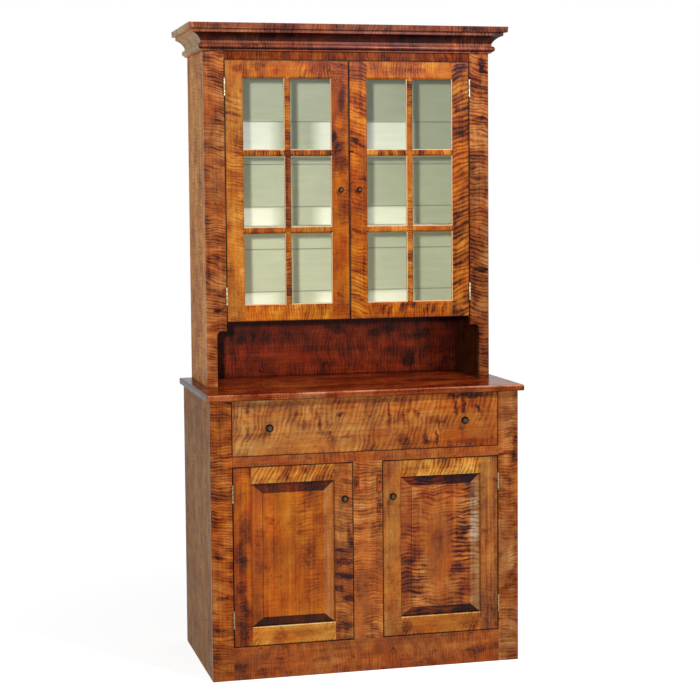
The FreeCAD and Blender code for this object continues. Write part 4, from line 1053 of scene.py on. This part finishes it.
dice = random.Random("small pieces")
for side, sign in (("left", -1), ("right", 1)):
    bm = bmesh.new()
    for near, far in PANE_COLUMNS:
        for low, high in PANE_ROWS:
            glazing_putty(bm, min(sign * near, sign * far), max(sign * near, sign * far), low, high, dice)
    body = "upper_" + side + "_door"
    new_piece(body + "_putty", bm, body, PUTTY)
case_screws = bmesh.new()
for level, bottoms in HINGES.items():
    for side, sign in (("left", -1), ("right", 1)):
        body = level + "_" + side + "_door"
        pin_x, pin_y, _ = (part / MM for part in PINS[body])
        door_screws = bmesh.new()
        for bottom in bottoms:
            for up, off in SCREWS:
                for bm, inward in ((door_screws, 1), (case_screws, -1)):
                    face = pin_x - sign * inward * LEAF_HALF_GAP
                    turn = dice.uniform(0, math.pi)
                    screw_head(bm, face, pin_y + LEAF_INTO_DOOR + off, bottom + up, sign * inward, turn)
        new_piece(body + "_hinge_screws", door_screws, body, BRASS)
new_piece("case_hinge_screws", case_screws, "case", BRASS)


# ------------------------ stage
def seen_directly(n):
    """1 for the camera's rays, also past a mirror or glass, and 0 for rays that have met a dull surface."""
    path = n.node("ShaderNodeLightPath").outputs
    total = n.add(path["Is Camera Ray"], path["Is Glossy Ray"])
    total = n.math("ADD", total, path["Is Transmission Ray"], clamp=True)
    return n.times(total, n.under(path["Diffuse Depth"], 0.5))


def make_world():
    """Plain soft light all round, and white where the camera sees it."""
    world = bpy.data.worlds.new("studio")
    bpy.context.scene.world = world
    world.use_nodes = True
    world.node_tree.nodes.clear()
    n = Nodes(world.node_tree)
    strength = n.add(WORLD_LIGHT, n.times(seen_directly(n), 1.0 - WORLD_LIGHT))
    sky = n.node("ShaderNodeBackground", {"Color": WHITE, "Strength": strength})
    n.show(sky, "World")


def lay_floor():
    """A pale floor that glows only for the camera, so that it ends in white and keeps the shadow."""
    mesh = bpy.data.meshes.new("floor")
    far = FLOOR_HALF_WIDTH
    mesh.from_pydata([(-far, -far, 0), (far, -far, 0), (far, far, 0), (-far, far, 0)], [], [(0, 1, 2, 3)])
    floor = new_object("floor", mesh)
    mat, n = new_material("pale_floor")
    away = n.vector("LENGTH", n.place())
    glow = n.ramp(away, *FLOOR_NEAR, *FLOOR_GLOW)
    shader = n.node("ShaderNodeBsdfPrincipled", {
        "Base Color": FLOOR_COLOUR, "Roughness": FLOOR_ROUGH, "Specular IOR Level": 0.0,
        "Emission Color": WHITE, "Emission Strength": n.times(seen_directly(n), glow)})
    n.show(shader)
    mesh.materials.append(mat)


def lamp(name, at, aim, size, watts, colour=(1.0, 1.0, 1.0)):
    data = bpy.data.lights.new(name, "AREA")
    data.shape = "RECTANGLE"
    data.size, data.size_y = size
    data.energy = watts
    data.color = colour
    made = new_object(name, data)
    made.location = at
    made.rotation_euler = (Vector(aim) - Vector(at)).to_track_quat("-Z", "Y").to_euler()


def make_camera():
    look = Vector(CAMERA_LOOKS).normalized()
    right = look.cross(Vector(CAMERA_UP)).normalized()
    up = right.cross(look)
    lens = bpy.data.cameras.new("camera")
    lens.lens = CAMERA_LENS
    lens.shift_y = CAMERA_SHIFT_Y
    lens.clip_end = CAMERA_FAR
    camera = new_object("camera", lens)
    camera.matrix_world = Matrix((
        (right.x, up.x, -look.x, CAMERA_AT[0]), (right.y, up.y, -look.y, CAMERA_AT[1]),
        (right.z, up.z, -look.z, CAMERA_AT[2]), (0, 0, 0, 1)))
    bpy.context.scene.camera = camera


make_world()
lay_floor()
lamp("key_lamp", KEY_AT, KEY_AIM, KEY_SIZE, KEY_WATTS)
lamp("high_lamp", HIGH_AT, HIGH_AIM, HIGH_SIZE, HIGH_WATTS, HIGH_COLOUR)
make_camera()
bpy.context.scene.view_settings.view_transform = "Standard"
